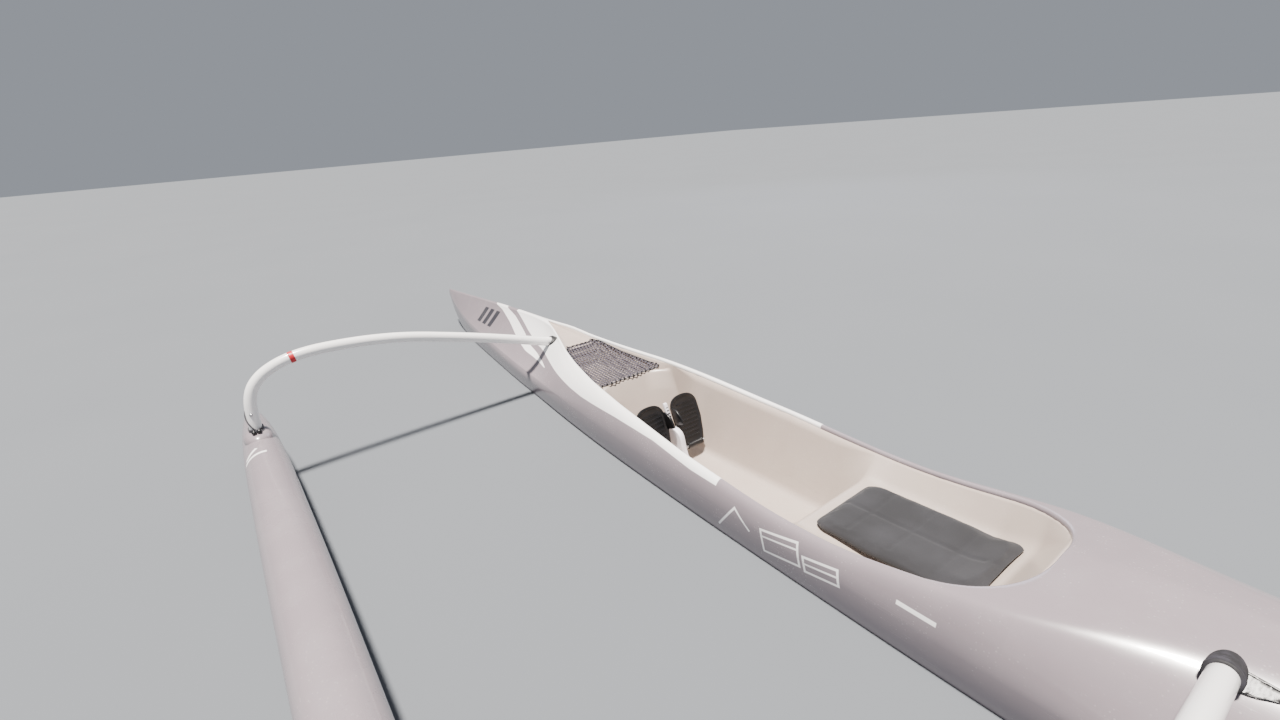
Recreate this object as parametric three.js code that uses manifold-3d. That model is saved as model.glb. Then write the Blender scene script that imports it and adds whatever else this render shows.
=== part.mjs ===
// One-person outrigger canoe with a rudder: hull, deck, open cockpit, ama (float) and two iakos (crossbeams).
// Millimetres. +X to the bow, +Y to port where the ama lies, +Z up.
// The origin is on the hull's centreline at the waterline, amidships.
// A station s is a distance ahead of the front iako; the hull, cockpit and ama are laid out along s.
import * as THREE from 'three';
import { mergeVertices } from 'three/addons/utils/BufferGeometryUtils.js';
import Module from 'manifold-3d';

// Driving dimensions
const BOW_S = 1200;
const STERN_S = -4820;
const IAKO_SPACING = 1830;
const AMA_Y = 994;
const AMA_SEAM_Z = 100;
const GAP = 0.3;
const LINER_WALL = 5;
const HULL_STATION_PITCH = 130;
const AMA_STATION_PITCH = 110;

const IAKO_RADIUS = 16;
const IAKO_STEPS = 44;
const IAKO_SIDES = 14;
const IAKO_FOOT_Z = 165.5;

const FRONT_IAKO_X = -(BOW_S + STERN_S) / 2;
const REAR_IAKO_X = FRONT_IAKO_X - IAKO_SPACING;

const STOWAGE_LIP_Z = 180;
const BULKHEAD_Z = 142;
const FOOTWELL_FLOOR_Z = -72;
const SEAT_FLOOR_Z = 66;
const NET_THICKNESS = 2;
const NET_TURN_UP = 9;
const SEAT_PAD_THICKNESS = 30;

const PEDAL_S = -652;
const PEDAL_PIVOT_Z = -28;
const PEDAL_LEAN = THREE.MathUtils.degToRad(22);
const PEDAL_WIDTH = 100;
const PEDAL_HEIGHT = 158;
const PEDAL_THICKNESS = 8;
const PEDAL_CENTRE_Y = 64;
const PEDAL_FLANGE_DEPTH = 40;
const PEDAL_FLANGE_THICKNESS = 6;
const PEDAL_SLEEVE_LENGTH = 56;
const PEDAL_SLEEVE_RADIUS = 9;
const AXLE_RADIUS = 5;

const RUDDER_S = -4010;
const RUDDER_POST_RADIUS = 8;
const RUDDER_CHORD = 118;
const RUDDER_SPAN = 175;
const RUDDER_THICKNESS = 13;
const RUDDER_CLEARANCE = 6;

const COLOURS = {
  gelcoatGrey: { color: 0xc8c2c2, roughness: 0.35, metalness: 0 },
  linerIvory: { color: 0xd6cfc2, roughness: 0.5, metalness: 0 },
  whiteCarbonTube: { color: 0xf2f2f2, roughness: 0.3, metalness: 0 },
  blackRubber: { color: 0x17171a, roughness: 0.8, metalness: 0 },
  blackFoam: { color: 0x1d1d20, roughness: 0.95, metalness: 0 },
  blackPlastic: { color: 0x141416, roughness: 0.5, metalness: 0 },
  netGrey: { color: 0x77757c, roughness: 0.9, metalness: 0 },
  paleAluminium: { color: 0xc9cacc, roughness: 0.35, metalness: 1 },
  whitePlastic: { color: 0xe6e6e4, roughness: 0.45, metalness: 0 },
};

// Hull sections, bow to stern. s: station; keel: height of the keel; beam: widest half-breadth;
// beamZ: its height, where hull and deck are joined; edge and edgeZ: where the side rolls over into the deck;
// ridge: height at the centreline; full: the shoulder's shape, under 1 hollow, 1 straight, 2 an ellipse.
const HULL_COLUMNS = ['s', 'keel', 'beam', 'beamZ', 'edge', 'edgeZ', 'ridge', 'full'];
const HULL_TABLE = [
  [BOW_S, 140, 6, 152, 2, 171, 174, 1.3],
  [1145, 60, 16, 140, 3, 175, 178, 1.2],
  [1070, -8, 29, 126, 4, 179, 182, 1.1],
  [960, -48, 47, 112, 5, 185, 188, 1.0],
  [760, -82, 77, 98, 6, 197, 200, 0.95],
  [450, -108, 111, 88, 8, 214, 217, 0.9],
  [150, -122, 141, 83, 10, 224, 227, 0.85],
  [0, -126, 153, 82, 28, 220, 226, 0.8],
  [-120, -129, 163, 81, 64, 197, 206, 1.0],
  [-250, -131, 174, 80, 101, 180, 194, 1.3],
  [-500, -134, 190, 78, 145, 166, 178, 1.7],
  [-900, -136, 203, 76, 174, 150, 162, 2.0],
  [-1300, -137, 206, 75, 174, 152, 168, 2.0],
  [-1600, -136, 204, 75, 152, 182, 202, 1.8],
  [-1830, -134, 198, 76, 62, 208, 218, 1.5],
  [-2300, -128, 180, 76, 40, 202, 210, 1.5],
  [-3000, -108, 140, 78, 30, 182, 189, 1.45],
  [-3700, -75, 92, 84, 20, 166, 171, 1.4],
  [-4250, -34, 50, 92, 12, 156, 160, 1.4],
  [-4650, 8, 22, 100, 6, 150, 153, 1.4],
  [STERN_S, 62, 7, 110, 2, 144, 147, 1.4],
];

// Cockpit, front to back. s: station; top: half-width at the rim;
// floor and floorZ: the floor's half-width and its height.
const COCKPIT_COLUMNS = ['s', 'top', 'floor', 'floorZ'];
const COCKPIT_TABLE = [
  [95, 3, 2, 222],
  [0, 28, 16, 207],
  [-120, 63, 48, STOWAGE_LIP_Z],
  [-134, 67, 49, STOWAGE_LIP_Z - 2],
  [-160, 75, 50, 108],
  [-250, 97, 66, 98],
  [-380, 123, 88, 94],
  [-400, 127, 108, BULKHEAD_Z],
  [-420, 130, 110, BULKHEAD_Z],
  [-470, 137, 104, 90],
  [-492, 140, 84, 20],
  [-512, 142, 68, -60],
  [-530, 144, 80, FOOTWELL_FLOOR_Z],
  [-580, 149, 94, FOOTWELL_FLOOR_Z],
  [-900, 170, 108, FOOTWELL_FLOOR_Z],
  [-1090, 172, 110, FOOTWELL_FLOOR_Z],
  [-1140, 172, 118, 0],
  [-1185, 171, 124, SEAT_FLOOR_Z + 4],
  [-1235, 170, 127, SEAT_FLOOR_Z],
  [-1335, 168, 127, SEAT_FLOOR_Z - 2],
  [-1485, 160, 122, SEAT_FLOOR_Z + 4],
  [-1560, 150, 112, 104],
  [-1605, 142, 98, 165],
  [-1640, 134, 90, 232],
];

// Ama sections, nose to tail. s: station; keel and top: heights of the keel and the crown; half: half-width.
const AMA_COLUMNS = ['s', 'keel', 'half', 'top'];
const AMA_TABLE = [
  [335, 84, 5, 120],
  [290, 50, 18, 140],
  [200, 10, 35, 153],
  [0, -22, 49, 162],
  [-400, -42, 56.5, 161],
  [-900, -50, 60, 160],
  [-1400, -45, 59, 160],
  [-1830, -28, 52, 160],
  [-2050, -4, 38, 150],
  [-2150, 26, 22, 136],
  [-2200, 70, 6.5, 120],
];

// Centreline of an iako as [y, z], from its socket in the hull to its foot on the ama.
const IAKO_ROUTE = [
  [-20, 160],
  [60, 182],
  [180, 222],
  [300, 261],
  [420, 297],
  [540, 329],
  [640, 347],
  [740, 357],
  [810, 359],
  [862, 354],
  [906, 342],
  [944, 322],
  [970, 295],
  [986, 254],
  [AMA_Y, IAKO_FOOT_Z],
];

const wasm = await Module();
wasm.setup();

// A closed geometry as a solid that can be cut and joined.
function toSolid(geometry) {
  const bare = geometry.clone();
  bare.deleteAttribute('normal');
  bare.deleteAttribute('uv');
  const merged = mergeVertices(bare, 1e-3);
  const position = merged.getAttribute('position');
  const source = merged.getIndex().array;
  const kept = [];
  for (let i = 0; i < source.length; i += 3) {
    const [a, b, c] = [source[i], source[i + 1], source[i + 2]];
    if (a !== b && b !== c && c !== a) kept.push(a, b, c);
  }
  const mesh = new wasm.Mesh({
    numProp: 3,
    vertProperties: new Float32Array(position.array),
    triVerts: new Uint32Array(kept),
  });
  mesh.merge();
  return new wasm.Manifold(mesh);
}

function toGeometry(solid) {
  const mesh = solid.getMesh();
  const geometry = new THREE.BufferGeometry();
  geometry.setAttribute('position', new THREE.BufferAttribute(new Float32Array(mesh.vertProperties), 3));
  geometry.setIndex(new THREE.BufferAttribute(new Uint32Array(mesh.triVerts), 1));
  geometry.computeVertexNormals();
  return geometry;
}

// Skin over a row of closed rings with equal point counts, capped at both ends.
function loft(rings) {
  const size = rings[0].length;
  const points = rings.flat();
  const index = [];
  for (let r = 0; r < rings.length - 1; r += 1) {
    for (let i = 0; i < size; i += 1) {
      const a = r * size + i;
      const b = r * size + (i + 1) % size;
      index.push(a, b, b + size, a, b + size, a + size);
    }
  }
  [0, rings.length - 1].forEach((r, end) => {
    const centre = new THREE.Vector3();
    rings[r].forEach((p) => centre.addScaledVector(p, 1 / size));
    const middle = points.push(centre) - 1;
    for (let i = 0; i < size; i += 1) {
      const a = r * size + i;
      const b = r * size + (i + 1) % size;
      if (end === 0) index.push(middle, b, a);
      else index.push(middle, a, b);
    }
  });
  return outward(points, index);
}

// Indexed geometry with its faces turned so that they point out.
function outward(points, index) {
  let volume = 0;
  const cross = new THREE.Vector3();
  for (let i = 0; i < index.length; i += 3) {
    volume += points[index[i]].dot(cross.crossVectors(points[index[i + 1]], points[index[i + 2]]));
  }
  const turned = volume > 0 ? index : index.slice().reverse();
  const geometry = new THREE.BufferGeometry().setFromPoints(points);
  geometry.setIndex(turned);
  return geometry;
}

// Rows of a table, blended smoothly at the given stations.
function smoothRows(table, columns, pitch) {
  const rising = table.slice().reverse();
  const size = columns.length;
  const stationsOfRows = rising.map((row) => row[0]);
  const curve = new THREE.CubicInterpolant(stationsOfRows, rising.flat(), size, new Float64Array(size));
  const stations = new Set();
  for (let r = 0; r < rising.length - 1; r += 1) {
    const [low, high] = [rising[r][0], rising[r + 1][0]];
    const steps = Math.max(1, Math.round((high - low) / pitch));
    for (let i = 0; i <= steps; i += 1) stations.add(low + (high - low) * i / steps);
  }
  return [...stations].sort((a, b) => a - b).map((s) => named(columns, Array.from(curve.evaluate(s))));
}

function named(columns, values) {
  return Object.fromEntries(columns.map((column, i) => [column, values[i]]));
}

// A quarter of a superellipse from (1, 0) to (0, 1).
function quarter(steps, full) {
  return Array.from({ length: steps + 1 }, (_, i) => {
    const angle = Math.PI / 2 * i / steps;
    return [Math.cos(angle) ** (2 / full), Math.sin(angle) ** (2 / full)];
  });
}

const BILGE_STEPS = 7;
const SHOULDER_STEPS = 5;
const BILGE_FULLNESS = 2.2;

function hullLowerHalf(row, grow = 0) {
  const depth = row.beamZ - row.keel + grow;
  return quarter(BILGE_STEPS, BILGE_FULLNESS).map(([across, down]) => [
    (row.beam + grow) * across, row.beamZ - depth * down]).reverse();
}

function hullUpperHalf(row, grow = 0) {
  const rise = row.edgeZ - row.beamZ + grow;
  const shoulder = quarter(SHOULDER_STEPS, row.full).map(([across, up]) => [
    row.edge + (row.beam + grow - row.edge) * across, row.beamZ + rise * up]);
  return [...shoulder, [0, row.ridge + grow]];
}

// A closed ring at a station from the port half of a section, which starts and ends anywhere.
function mirroredRing(s, half, centreY = 0) {
  const port = half.map(([y, z]) => new THREE.Vector3(FRONT_IAKO_X + s, centreY + y, z));
  const starboard = half.filter(([y]) => y > 1e-6).reverse()
    .map(([y, z]) => new THREE.Vector3(FRONT_IAKO_X + s, centreY - y, z));
  return [...port, ...starboard];
}

const hullRows = smoothRows(HULL_TABLE, HULL_COLUMNS, HULL_STATION_PITCH);

function hullForm(grow = 0) {
  return toSolid(loft(hullRows.map((row) => mirroredRing(
    row.s, [...hullLowerHalf(row, grow), ...hullUpperHalf(row, grow).slice(1)]))));
}

function hullBelowSeam() {
  return toSolid(loft(hullRows.map((row) => mirroredRing(row.s, hullLowerHalf(row)))));
}

function deckAboveSeam() {
  return toSolid(loft(hullRows.map((row) => mirroredRing(
    row.s, hullUpperHalf(row).map(([y, z], i) => [y, i === 0 ? z + GAP : z])))));
}

// Value of a column at a station, straight between rows.
function along(table, columns, column, s) {
  const k = columns.indexOf(column);
  const i = Math.max(1, table.findIndex((row) => row[0] <= s));
  const [front, back] = [table[i - 1], table[i]];
  return THREE.MathUtils.mapLinear(s, back[0], front[0], back[k], front[k]);
}

function rimHeight(s) {
  return along(HULL_TABLE, HULL_COLUMNS, 'edgeZ', s);
}

const ABOVE_DECK_Z = 330;
const FLOOR_CORNER = 22;
const CORNER_STEPS = 3;

// Section of the cockpit's space, grown outwards by a wall.
function cockpitHalf(row, wall) {
  const rim = Math.max(rimHeight(row.s), row.floorZ + 4);
  const floorZ = row.floorZ - wall;
  const floor = row.floor + wall;
  const top = row.top + wall;
  const corner = Math.min(FLOOR_CORNER, (rim - floorZ) / 6, floor * 0.8);
  const slope = new THREE.Vector2(top - floor, rim - floorZ).normalize();
  const curve = new THREE.QuadraticBezierCurve(
    new THREE.Vector2(floor - corner, floorZ),
    new THREE.Vector2(floor, floorZ),
    new THREE.Vector2(floor + slope.x * corner, floorZ + slope.y * corner));
  const arc = curve.getPoints(CORNER_STEPS).map((p) => [p.x, p.y]);
  return [...arc, [top, rim], [top, ABOVE_DECK_Z]];
}

function cockpitSpace(wall) {
  const rows = COCKPIT_TABLE.map((values) => named(COCKPIT_COLUMNS, values));
  rows[0].s += wall;
  rows[rows.length - 1].s -= wall;
  return toSolid(loft(rows.map((row) => mirroredRing(row.s, cockpitHalf(row, wall)))));
}

// The iako's curve in the YZ plane; extra lengthens it past both ends.
function iakoCurve(x, extra = 0) {
  const route = IAKO_ROUTE.map(([y, z]) => new THREE.Vector3(x, y, z));
  const last = route.length - 1;
  const inward = route[0].clone().sub(route[1]).setLength(extra);
  const downward = route[last].clone().sub(route[last - 1]).setLength(extra);
  route[0].add(inward);
  route[last].add(downward);
  return new THREE.CatmullRomCurve3(route, false, 'centripetal');
}

// A ring about a curve in the YZ plane, square to it.
function ringAcross(curve, t, radius, sides) {
  const centre = curve.getPointAt(t);
  const tangent = curve.getTangentAt(t);
  const up = new THREE.Vector3(0, -tangent.z, tangent.y);
  return Array.from({ length: sides }, (_, i) => {
    const angle = 2 * Math.PI * (i + 0.5) / sides;
    return centre.clone()
      .addScaledVector(up, radius * Math.cos(angle))
      .add(new THREE.Vector3(radius * Math.sin(angle), 0, 0));
  });
}

function iakoTube(x, grow = 0) {
  const curve = iakoCurve(x, grow);
  const rings = Array.from({ length: IAKO_STEPS + 1 }, (_, i) =>
    ringAcross(curve, i / IAKO_STEPS, IAKO_RADIUS + grow, IAKO_SIDES));
  return loft(rings);
}

const amaRows = smoothRows(AMA_TABLE, AMA_COLUMNS, AMA_STATION_PITCH);
const AMA_STEPS = 5;
const AMA_BOTTOM_FULLNESS = 1.9;
const AMA_TOP_FULLNESS = 2.1;

function amaLowerHalf(row, grow = 0) {
  return quarter(AMA_STEPS, AMA_BOTTOM_FULLNESS).map(([across, down]) => [
    (row.half + grow) * across, AMA_SEAM_Z - (AMA_SEAM_Z - row.keel + grow) * down]).reverse();
}

function amaUpperHalf(row, grow = 0) {
  return quarter(AMA_STEPS, AMA_TOP_FULLNESS).map(([across, up]) => [
    (row.half + grow) * across, AMA_SEAM_Z + (row.top - AMA_SEAM_Z + grow) * up]);
}

function amaBelowSeam() {
  return toSolid(loft(amaRows.map((row) => mirroredRing(row.s, amaLowerHalf(row), AMA_Y))));
}

function amaAboveSeam() {
  return toSolid(loft(amaRows.map((row) => mirroredRing(
    row.s, amaUpperHalf(row).map(([y, z], i) => [y, i === 0 ? z + GAP : z]), AMA_Y))));
}

function amaForm(grow = 0) {
  return toSolid(loft(amaRows.map((row) => mirroredRing(
    row.s, [...amaLowerHalf(row, grow), ...amaUpperHalf(row, grow).slice(1)], AMA_Y))));
}

// A turned solid about +Z, from [radius, height] points that start and end on the axis.
function turned(profile, sides = 20) {
  const points = profile.map(([r, z]) => new THREE.Vector2(r, z));
  return new THREE.LatheGeometry(points, sides).rotateX(Math.PI / 2);
}

// Everything between two stations; side 1 keeps the port half, -1 the starboard half, 0 both.
function between(frontS, backS, side = 0) {
  const reach = 1000;
  const block = new THREE.BoxGeometry(frontS - backS, reach, reach);
  const offset = side === 0 ? 0 : side * (reach / 2 + GAP / 2);
  return toSolid(block.translate(FRONT_IAKO_X + (frontS + backS) / 2, offset, 0));
}

const model = new THREE.Group();
model.name = 'outrigger_canoe';

function add(name, shape, finish, place = new THREE.Vector3(), turn = new THREE.Euler()) {
  const geometry = shape.isBufferGeometry ? shape : toGeometry(shape);
  const mesh = new THREE.Mesh(geometry, new THREE.MeshStandardMaterial(COLOURS[finish]));
  mesh.name = name;
  mesh.position.copy(place);
  mesh.rotation.copy(turn);
  model.add(mesh);
}

const wholeHull = hullForm();
const hullWithGap = hullForm(GAP);
const amaWithGap = amaForm(GAP);
const cockpitCut = cockpitSpace(LINER_WALL + GAP);
const insideCockpit = cockpitSpace(-GAP);
const iakoBores = [FRONT_IAKO_X, REAR_IAKO_X].map((x) => toSolid(iakoTube(x, GAP)));
const rudderX = FRONT_IAKO_X + RUDDER_S;

// Hull, deck and cockpit
const RUDDER_BORE_TOP_Z = 60;
const RUDDER_BORE_RADIUS = RUDDER_POST_RADIUS + 0.6;
const BELOW_HULL_Z = -400;
const rudderBore = toSolid(turned([
  [0, BELOW_HULL_Z], [RUDDER_BORE_RADIUS, BELOW_HULL_Z], [RUDDER_BORE_RADIUS, RUDDER_BORE_TOP_Z],
  [0, RUDDER_BORE_TOP_Z],
]).translate(rudderX, 0, 0));

function hullShell() {
  let hull = hullBelowSeam().subtract(cockpitCut).subtract(rudderBore);
  iakoBores.forEach((bore) => { hull = hull.subtract(bore); });
  return hull;
}

// The deck is built in four panels round the cockpit, split where its floor lies below the seam.
const FOREDECK_END_S = -445;
const AFT_DECK_START_S = -1490;
const DECK_PANELS = [
  ['foredeck', BOW_S + 1, FOREDECK_END_S, 0],
  ['port_side_deck', FOREDECK_END_S - GAP, AFT_DECK_START_S + GAP, 1],
  ['starboard_side_deck', FOREDECK_END_S - GAP, AFT_DECK_START_S + GAP, -1],
  ['aft_deck', AFT_DECK_START_S, STERN_S - 1, 0],
];

function deckForm() {
  let deck = deckAboveSeam().subtract(cockpitCut);
  iakoBores.forEach((bore) => { deck = deck.subtract(bore); });
  return deck;
}

function cockpitLiner() {
  return cockpitSpace(LINER_WALL).subtract(cockpitSpace(0)).intersect(wholeHull);
}

const wholeDeck = deckForm();
add('hull_shell', hullShell(), 'gelcoatGrey');
DECK_PANELS.forEach(([name, frontS, backS, side]) => {
  add(name, wholeDeck.intersect(between(frontS, backS, side)), 'gelcoatGrey');
});
add('cockpit_liner', cockpitLiner(), 'linerIvory');

// Half-width between the cockpit's walls at a height.
function wallHalf(s, z) {
  const top = along(COCKPIT_TABLE, COCKPIT_COLUMNS, 'top', s);
  const floor = along(COCKPIT_TABLE, COCKPIT_COLUMNS, 'floor', s);
  const floorZ = along(COCKPIT_TABLE, COCKPIT_COLUMNS, 'floorZ', s);
  return THREE.MathUtils.mapLinear(z, floorZ, rimHeight(s), floor, top);
}

// Net over the front stowage, from near the cockpit's point to the crest of the bulkhead.
// s: station; height: of its top face.
const NET_REST_Z = BULKHEAD_Z + NET_THICKNESS + GAP;
const NET_FRONT_Z = STOWAGE_LIP_Z + NET_THICKNESS + GAP;
const NET_TABLE = [
  [-121, NET_FRONT_Z],
  [-134, NET_FRONT_Z - 1],
  [-250, 157],
  [-380, NET_REST_Z + 1],
  [-398, NET_REST_Z],
  [-419, NET_REST_Z],
];

function stowageNet() {
  const net = loft(NET_TABLE.map(([s, z]) => {
    const half = wallHalf(s, z + NET_TURN_UP);
    const bottom = z - NET_THICKNESS;
    return mirroredRing(s, [
      [half - 2 * NET_TURN_UP, bottom], [half, bottom + NET_TURN_UP],
      [half, z + NET_TURN_UP], [half - 2 * NET_TURN_UP, z]]);
  }));
  return toSolid(net).intersect(insideCockpit);
}

add('stowage_net', stowageNet(), 'netGrey');

// Seat pad, a soft block that follows the seat's floor. s: station; half: half-width; thick: thickness.
const SEAT_PAD_TABLE = [
  [-1200, 100, 12],
  [-1235, 114, SEAT_PAD_THICKNESS - 4],
  [-1335, 117, SEAT_PAD_THICKNESS],
  [-1485, 112, SEAT_PAD_THICKNESS],
  [-1535, 102, 22],
  [-1550, 94, 10],
];

function seatPad() {
  const pad = loft(SEAT_PAD_TABLE.map(([s, half, thick]) => {
    const floorZ = along(COCKPIT_TABLE, COCKPIT_COLUMNS, 'floorZ', s);
    const inset = Math.min(8, thick / 2);
    return mirroredRing(s, [
      [half - inset, floorZ], [half, floorZ + inset],
      [half, floorZ + thick - inset], [half - inset, floorZ + thick]]);
  }));
  return toSolid(pad).intersect(insideCockpit);
}

add('seat_pad', seatPad(), 'blackFoam');

// Foot pedals: a track on the floor, a base that slides on it, an axle, and two pedals
const TRACK_FRONT_S = -534;
const TRACK_LENGTH = 330;
const TRACK_WIDTH = 30;
const TRACK_HEIGHT = 10;
const BASE_LENGTH = 120;
const BASE_WIDTH = 18;
const COLUMN_WIDTH = 12;
const COLUMN_TOP_Z = 112;
const HUMP_TOP_Z = 44;
const AXLE_LENGTH = 2 * PEDAL_CENTRE_Y + PEDAL_SLEEVE_LENGTH + 16;
const pedalX = FRONT_IAKO_X + PEDAL_S;
const floorTopZ = FOOTWELL_FLOOR_Z + GAP;

function pedalTrack() {
  const half = TRACK_WIDTH / 2;
  const section = new THREE.Shape([
    new THREE.Vector2(-half, 0), new THREE.Vector2(half, 0),
    new THREE.Vector2(half - 5, TRACK_HEIGHT), new THREE.Vector2(5 - half, TRACK_HEIGHT)]);
  return new THREE.ExtrudeGeometry(section, { depth: TRACK_LENGTH, bevelEnabled: false })
    .rotateX(Math.PI / 2).rotateZ(Math.PI / 2)
    .translate(FRONT_IAKO_X + TRACK_FRONT_S - TRACK_LENGTH, 0, floorTopZ);
}

// A side view in X and Z, given depth in Y about the centreline.
function slabInY(side, depth) {
  return new THREE.ExtrudeGeometry(side, { depth, bevelEnabled: false, curveSegments: 6 })
    .rotateX(Math.PI / 2).translate(pedalX, depth / 2, 0);
}

// Long foot on the track, humped housing round the axle, and a column that leans between the pedals.
function pedalBase() {
  const foot = BASE_LENGTH / 2;
  const bottom = floorTopZ + TRACK_HEIGHT + GAP;
  const housing = new THREE.Shape();
  housing.moveTo(-foot, bottom);
  housing.lineTo(foot, bottom);
  housing.lineTo(foot, bottom + 8);
  housing.quadraticCurveTo(foot - 14, bottom + 34, 34, HUMP_TOP_Z - 8);
  housing.lineTo(22, HUMP_TOP_Z);
  housing.quadraticCurveTo(-14, HUMP_TOP_Z + 4, -24, 10);
  housing.quadraticCurveTo(-28, -30, -foot, bottom + 8);
  const column = new THREE.Shape([
    new THREE.Vector2(30, HUMP_TOP_Z - 16), new THREE.Vector2(62, COLUMN_TOP_Z - 4),
    new THREE.Vector2(51, COLUMN_TOP_Z), new THREE.Vector2(20, HUMP_TOP_Z - 10)]);
  const bore = new THREE.CylinderGeometry(AXLE_RADIUS + GAP, AXLE_RADIUS + GAP, BASE_WIDTH * 2, 16)
    .translate(pedalX, 0, PEDAL_PIVOT_Z);
  const body = toSolid(slabInY(housing, BASE_WIDTH));
  return body.add(toSolid(slabInY(column, COLUMN_WIDTH))).subtract(toSolid(bore));
}

// A pedal in its own frame: pivot at the origin, plate standing up, side +1 to port.
function pedalShape(side) {
  const half = PEDAL_WIDTH / 2;
  const plate = new THREE.Shape();
  plate.moveTo(20 - half, -4);
  plate.lineTo(half - 20, -4);
  plate.lineTo(half - 8, 30);
  plate.lineTo(half, 75);
  plate.lineTo(half, PEDAL_HEIGHT - 44);
  plate.bezierCurveTo(half, PEDAL_HEIGHT - 12, half - 20, PEDAL_HEIGHT, 0, PEDAL_HEIGHT);
  plate.bezierCurveTo(20 - half, PEDAL_HEIGHT, -half, PEDAL_HEIGHT - 12, -half, PEDAL_HEIGHT - 44);
  plate.lineTo(-half, 75);
  plate.lineTo(8 - half, 30);
  const solidPlate = { depth: PEDAL_THICKNESS, bevelEnabled: false, curveSegments: 6 };
  const face = new THREE.ExtrudeGeometry(plate, solidPlate)
    .rotateX(Math.PI / 2).rotateZ(Math.PI / 2).translate(-PEDAL_THICKNESS / 2, 0, 0);
  const flange = new THREE.Shape();
  flange.moveTo(4, 76);
  flange.lineTo(4, PEDAL_HEIGHT - 30);
  flange.quadraticCurveTo(
    -PEDAL_FLANGE_DEPTH, PEDAL_HEIGHT - 38, -PEDAL_FLANGE_DEPTH, PEDAL_HEIGHT - 84);
  flange.lineTo(-8, 76);
  const solidFlange = { depth: PEDAL_FLANGE_THICKNESS, bevelEnabled: false, curveSegments: 6 };
  const inner = new THREE.ExtrudeGeometry(flange, solidFlange)
    .rotateX(Math.PI / 2).translate(0, side > 0 ? PEDAL_FLANGE_THICKNESS - half : half, 0);
  const sleeve = new THREE.CylinderGeometry(
    PEDAL_SLEEVE_RADIUS, PEDAL_SLEEVE_RADIUS, PEDAL_SLEEVE_LENGTH, 16);
  const bore = new THREE.CylinderGeometry(AXLE_RADIUS + GAP, AXLE_RADIUS + GAP, PEDAL_WIDTH * 2, 16);
  return toSolid(face).add(toSolid(inner)).add(toSolid(sleeve)).subtract(toSolid(bore));
}

add('pedal_track', pedalTrack(), 'paleAluminium');
add('pedal_base', pedalBase(), 'whitePlastic');
add('pedal_axle', new THREE.CylinderGeometry(AXLE_RADIUS, AXLE_RADIUS, AXLE_LENGTH, 16), 'paleAluminium',
  new THREE.Vector3(pedalX, 0, PEDAL_PIVOT_Z));
[['pedal_port', 1], ['pedal_starboard', -1]].forEach(([name, side]) => {
  add(name, pedalShape(side), 'blackPlastic', new THREE.Vector3(pedalX, side * PEDAL_CENTRE_Y, PEDAL_PIVOT_Z),
    new THREE.Euler(0, PEDAL_LEAN, 0));
});

// A drain plug in the footwell's floor
const DRAIN_S = -1040;
add('footwell_drain', turned([[0, 0], [16, 0], [16, 3], [12, 5], [0, 5]]), 'blackPlastic',
  new THREE.Vector3(FRONT_IAKO_X + DRAIN_S, 0, floorTopZ));

// Ama in two moulded halves
add('ama_lower_shell', amaBelowSeam(), 'gelcoatGrey');
add('ama_upper_shell', amaAboveSeam(), 'gelcoatGrey');

// Iakos with their collars at the hull, and pads, lashings and knobs at the ama
const COLLAR_WALL = 3;
const COLLAR_LENGTH = 44;
const SADDLE_RADIUS = 36;
const SADDLE_HEIGHT = 11;
const SADDLE_SINK = 30;
const SADDLE_STRETCH = 1.6;
const KNOB_SPREAD = 6.6;
const KNOB_AFT = 31;
const CORD_RADIUS = 2.5;
const LASHING_RISE = 5;
const ENDS = [
  { end: 'front', x: FRONT_IAKO_X, bore: iakoBores[0], collarY: 45, amaTopZ: 162 },
  { end: 'rear', x: REAR_IAKO_X, bore: iakoBores[1], collarY: 100, amaTopZ: 160 },
];

// Parameter where the iako's curve, which rises steadily in y, reaches a given y.
function parameterAt(curve, y) {
  let [low, high] = [0, 1];
  for (let i = 0; i < 40; i += 1) {
    const middle = (low + high) / 2;
    if (curve.getPointAt(middle).y < y) low = middle;
    else high = middle;
  }
  return low;
}

// A short sleeve round the tube where it meets the deck, trimmed to the deck's slope.
function collar({ x, collarY, bore }) {
  const curve = iakoCurve(x);
  const ends = [collarY - COLLAR_LENGTH / 2, collarY + COLLAR_LENGTH / 2];
  const rings = ends.map((y) => ringAcross(curve, parameterAt(curve, y), IAKO_RADIUS + COLLAR_WALL, 18));
  return toSolid(loft(rings)).subtract(bore).subtract(hullWithGap);
}

// The low oval pad on the ama that the iako's foot sinks into.
function saddle({ x, amaTopZ, bore }) {
  const pad = turned([
    [0, amaTopZ - SADDLE_SINK], [SADDLE_RADIUS, amaTopZ - SADDLE_SINK], [SADDLE_RADIUS - 1, amaTopZ - 2],
    [SADDLE_RADIUS - 8, amaTopZ + SADDLE_HEIGHT - 3], [SADDLE_RADIUS - 14, amaTopZ + SADDLE_HEIGHT],
    [0, amaTopZ + SADDLE_HEIGHT]], 24);
  pad.scale(SADDLE_STRETCH, 1, 1).translate(x, AMA_Y, 0);
  return toSolid(pad).subtract(bore).subtract(amaWithGap);
}

// A ring of cord round an iako's leg at a height.
function legRing({ x, amaTopZ, bore }) {
  const z = amaTopZ + SADDLE_HEIGHT + LASHING_RISE;
  const [legY, legZ] = IAKO_ROUTE.at(-2);
  const slope = (legY - AMA_Y) / (legZ - IAKO_FOOT_Z);
  const ring = new THREE.TorusGeometry(IAKO_RADIUS + CORD_RADIUS, CORD_RADIUS, 6, 18);
  ring.rotateX(-Math.atan(slope));
  ring.translate(x, AMA_Y + slope * (z - IAKO_FOOT_Z), z);
  return toSolid(ring).subtract(bore);
}

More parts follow.
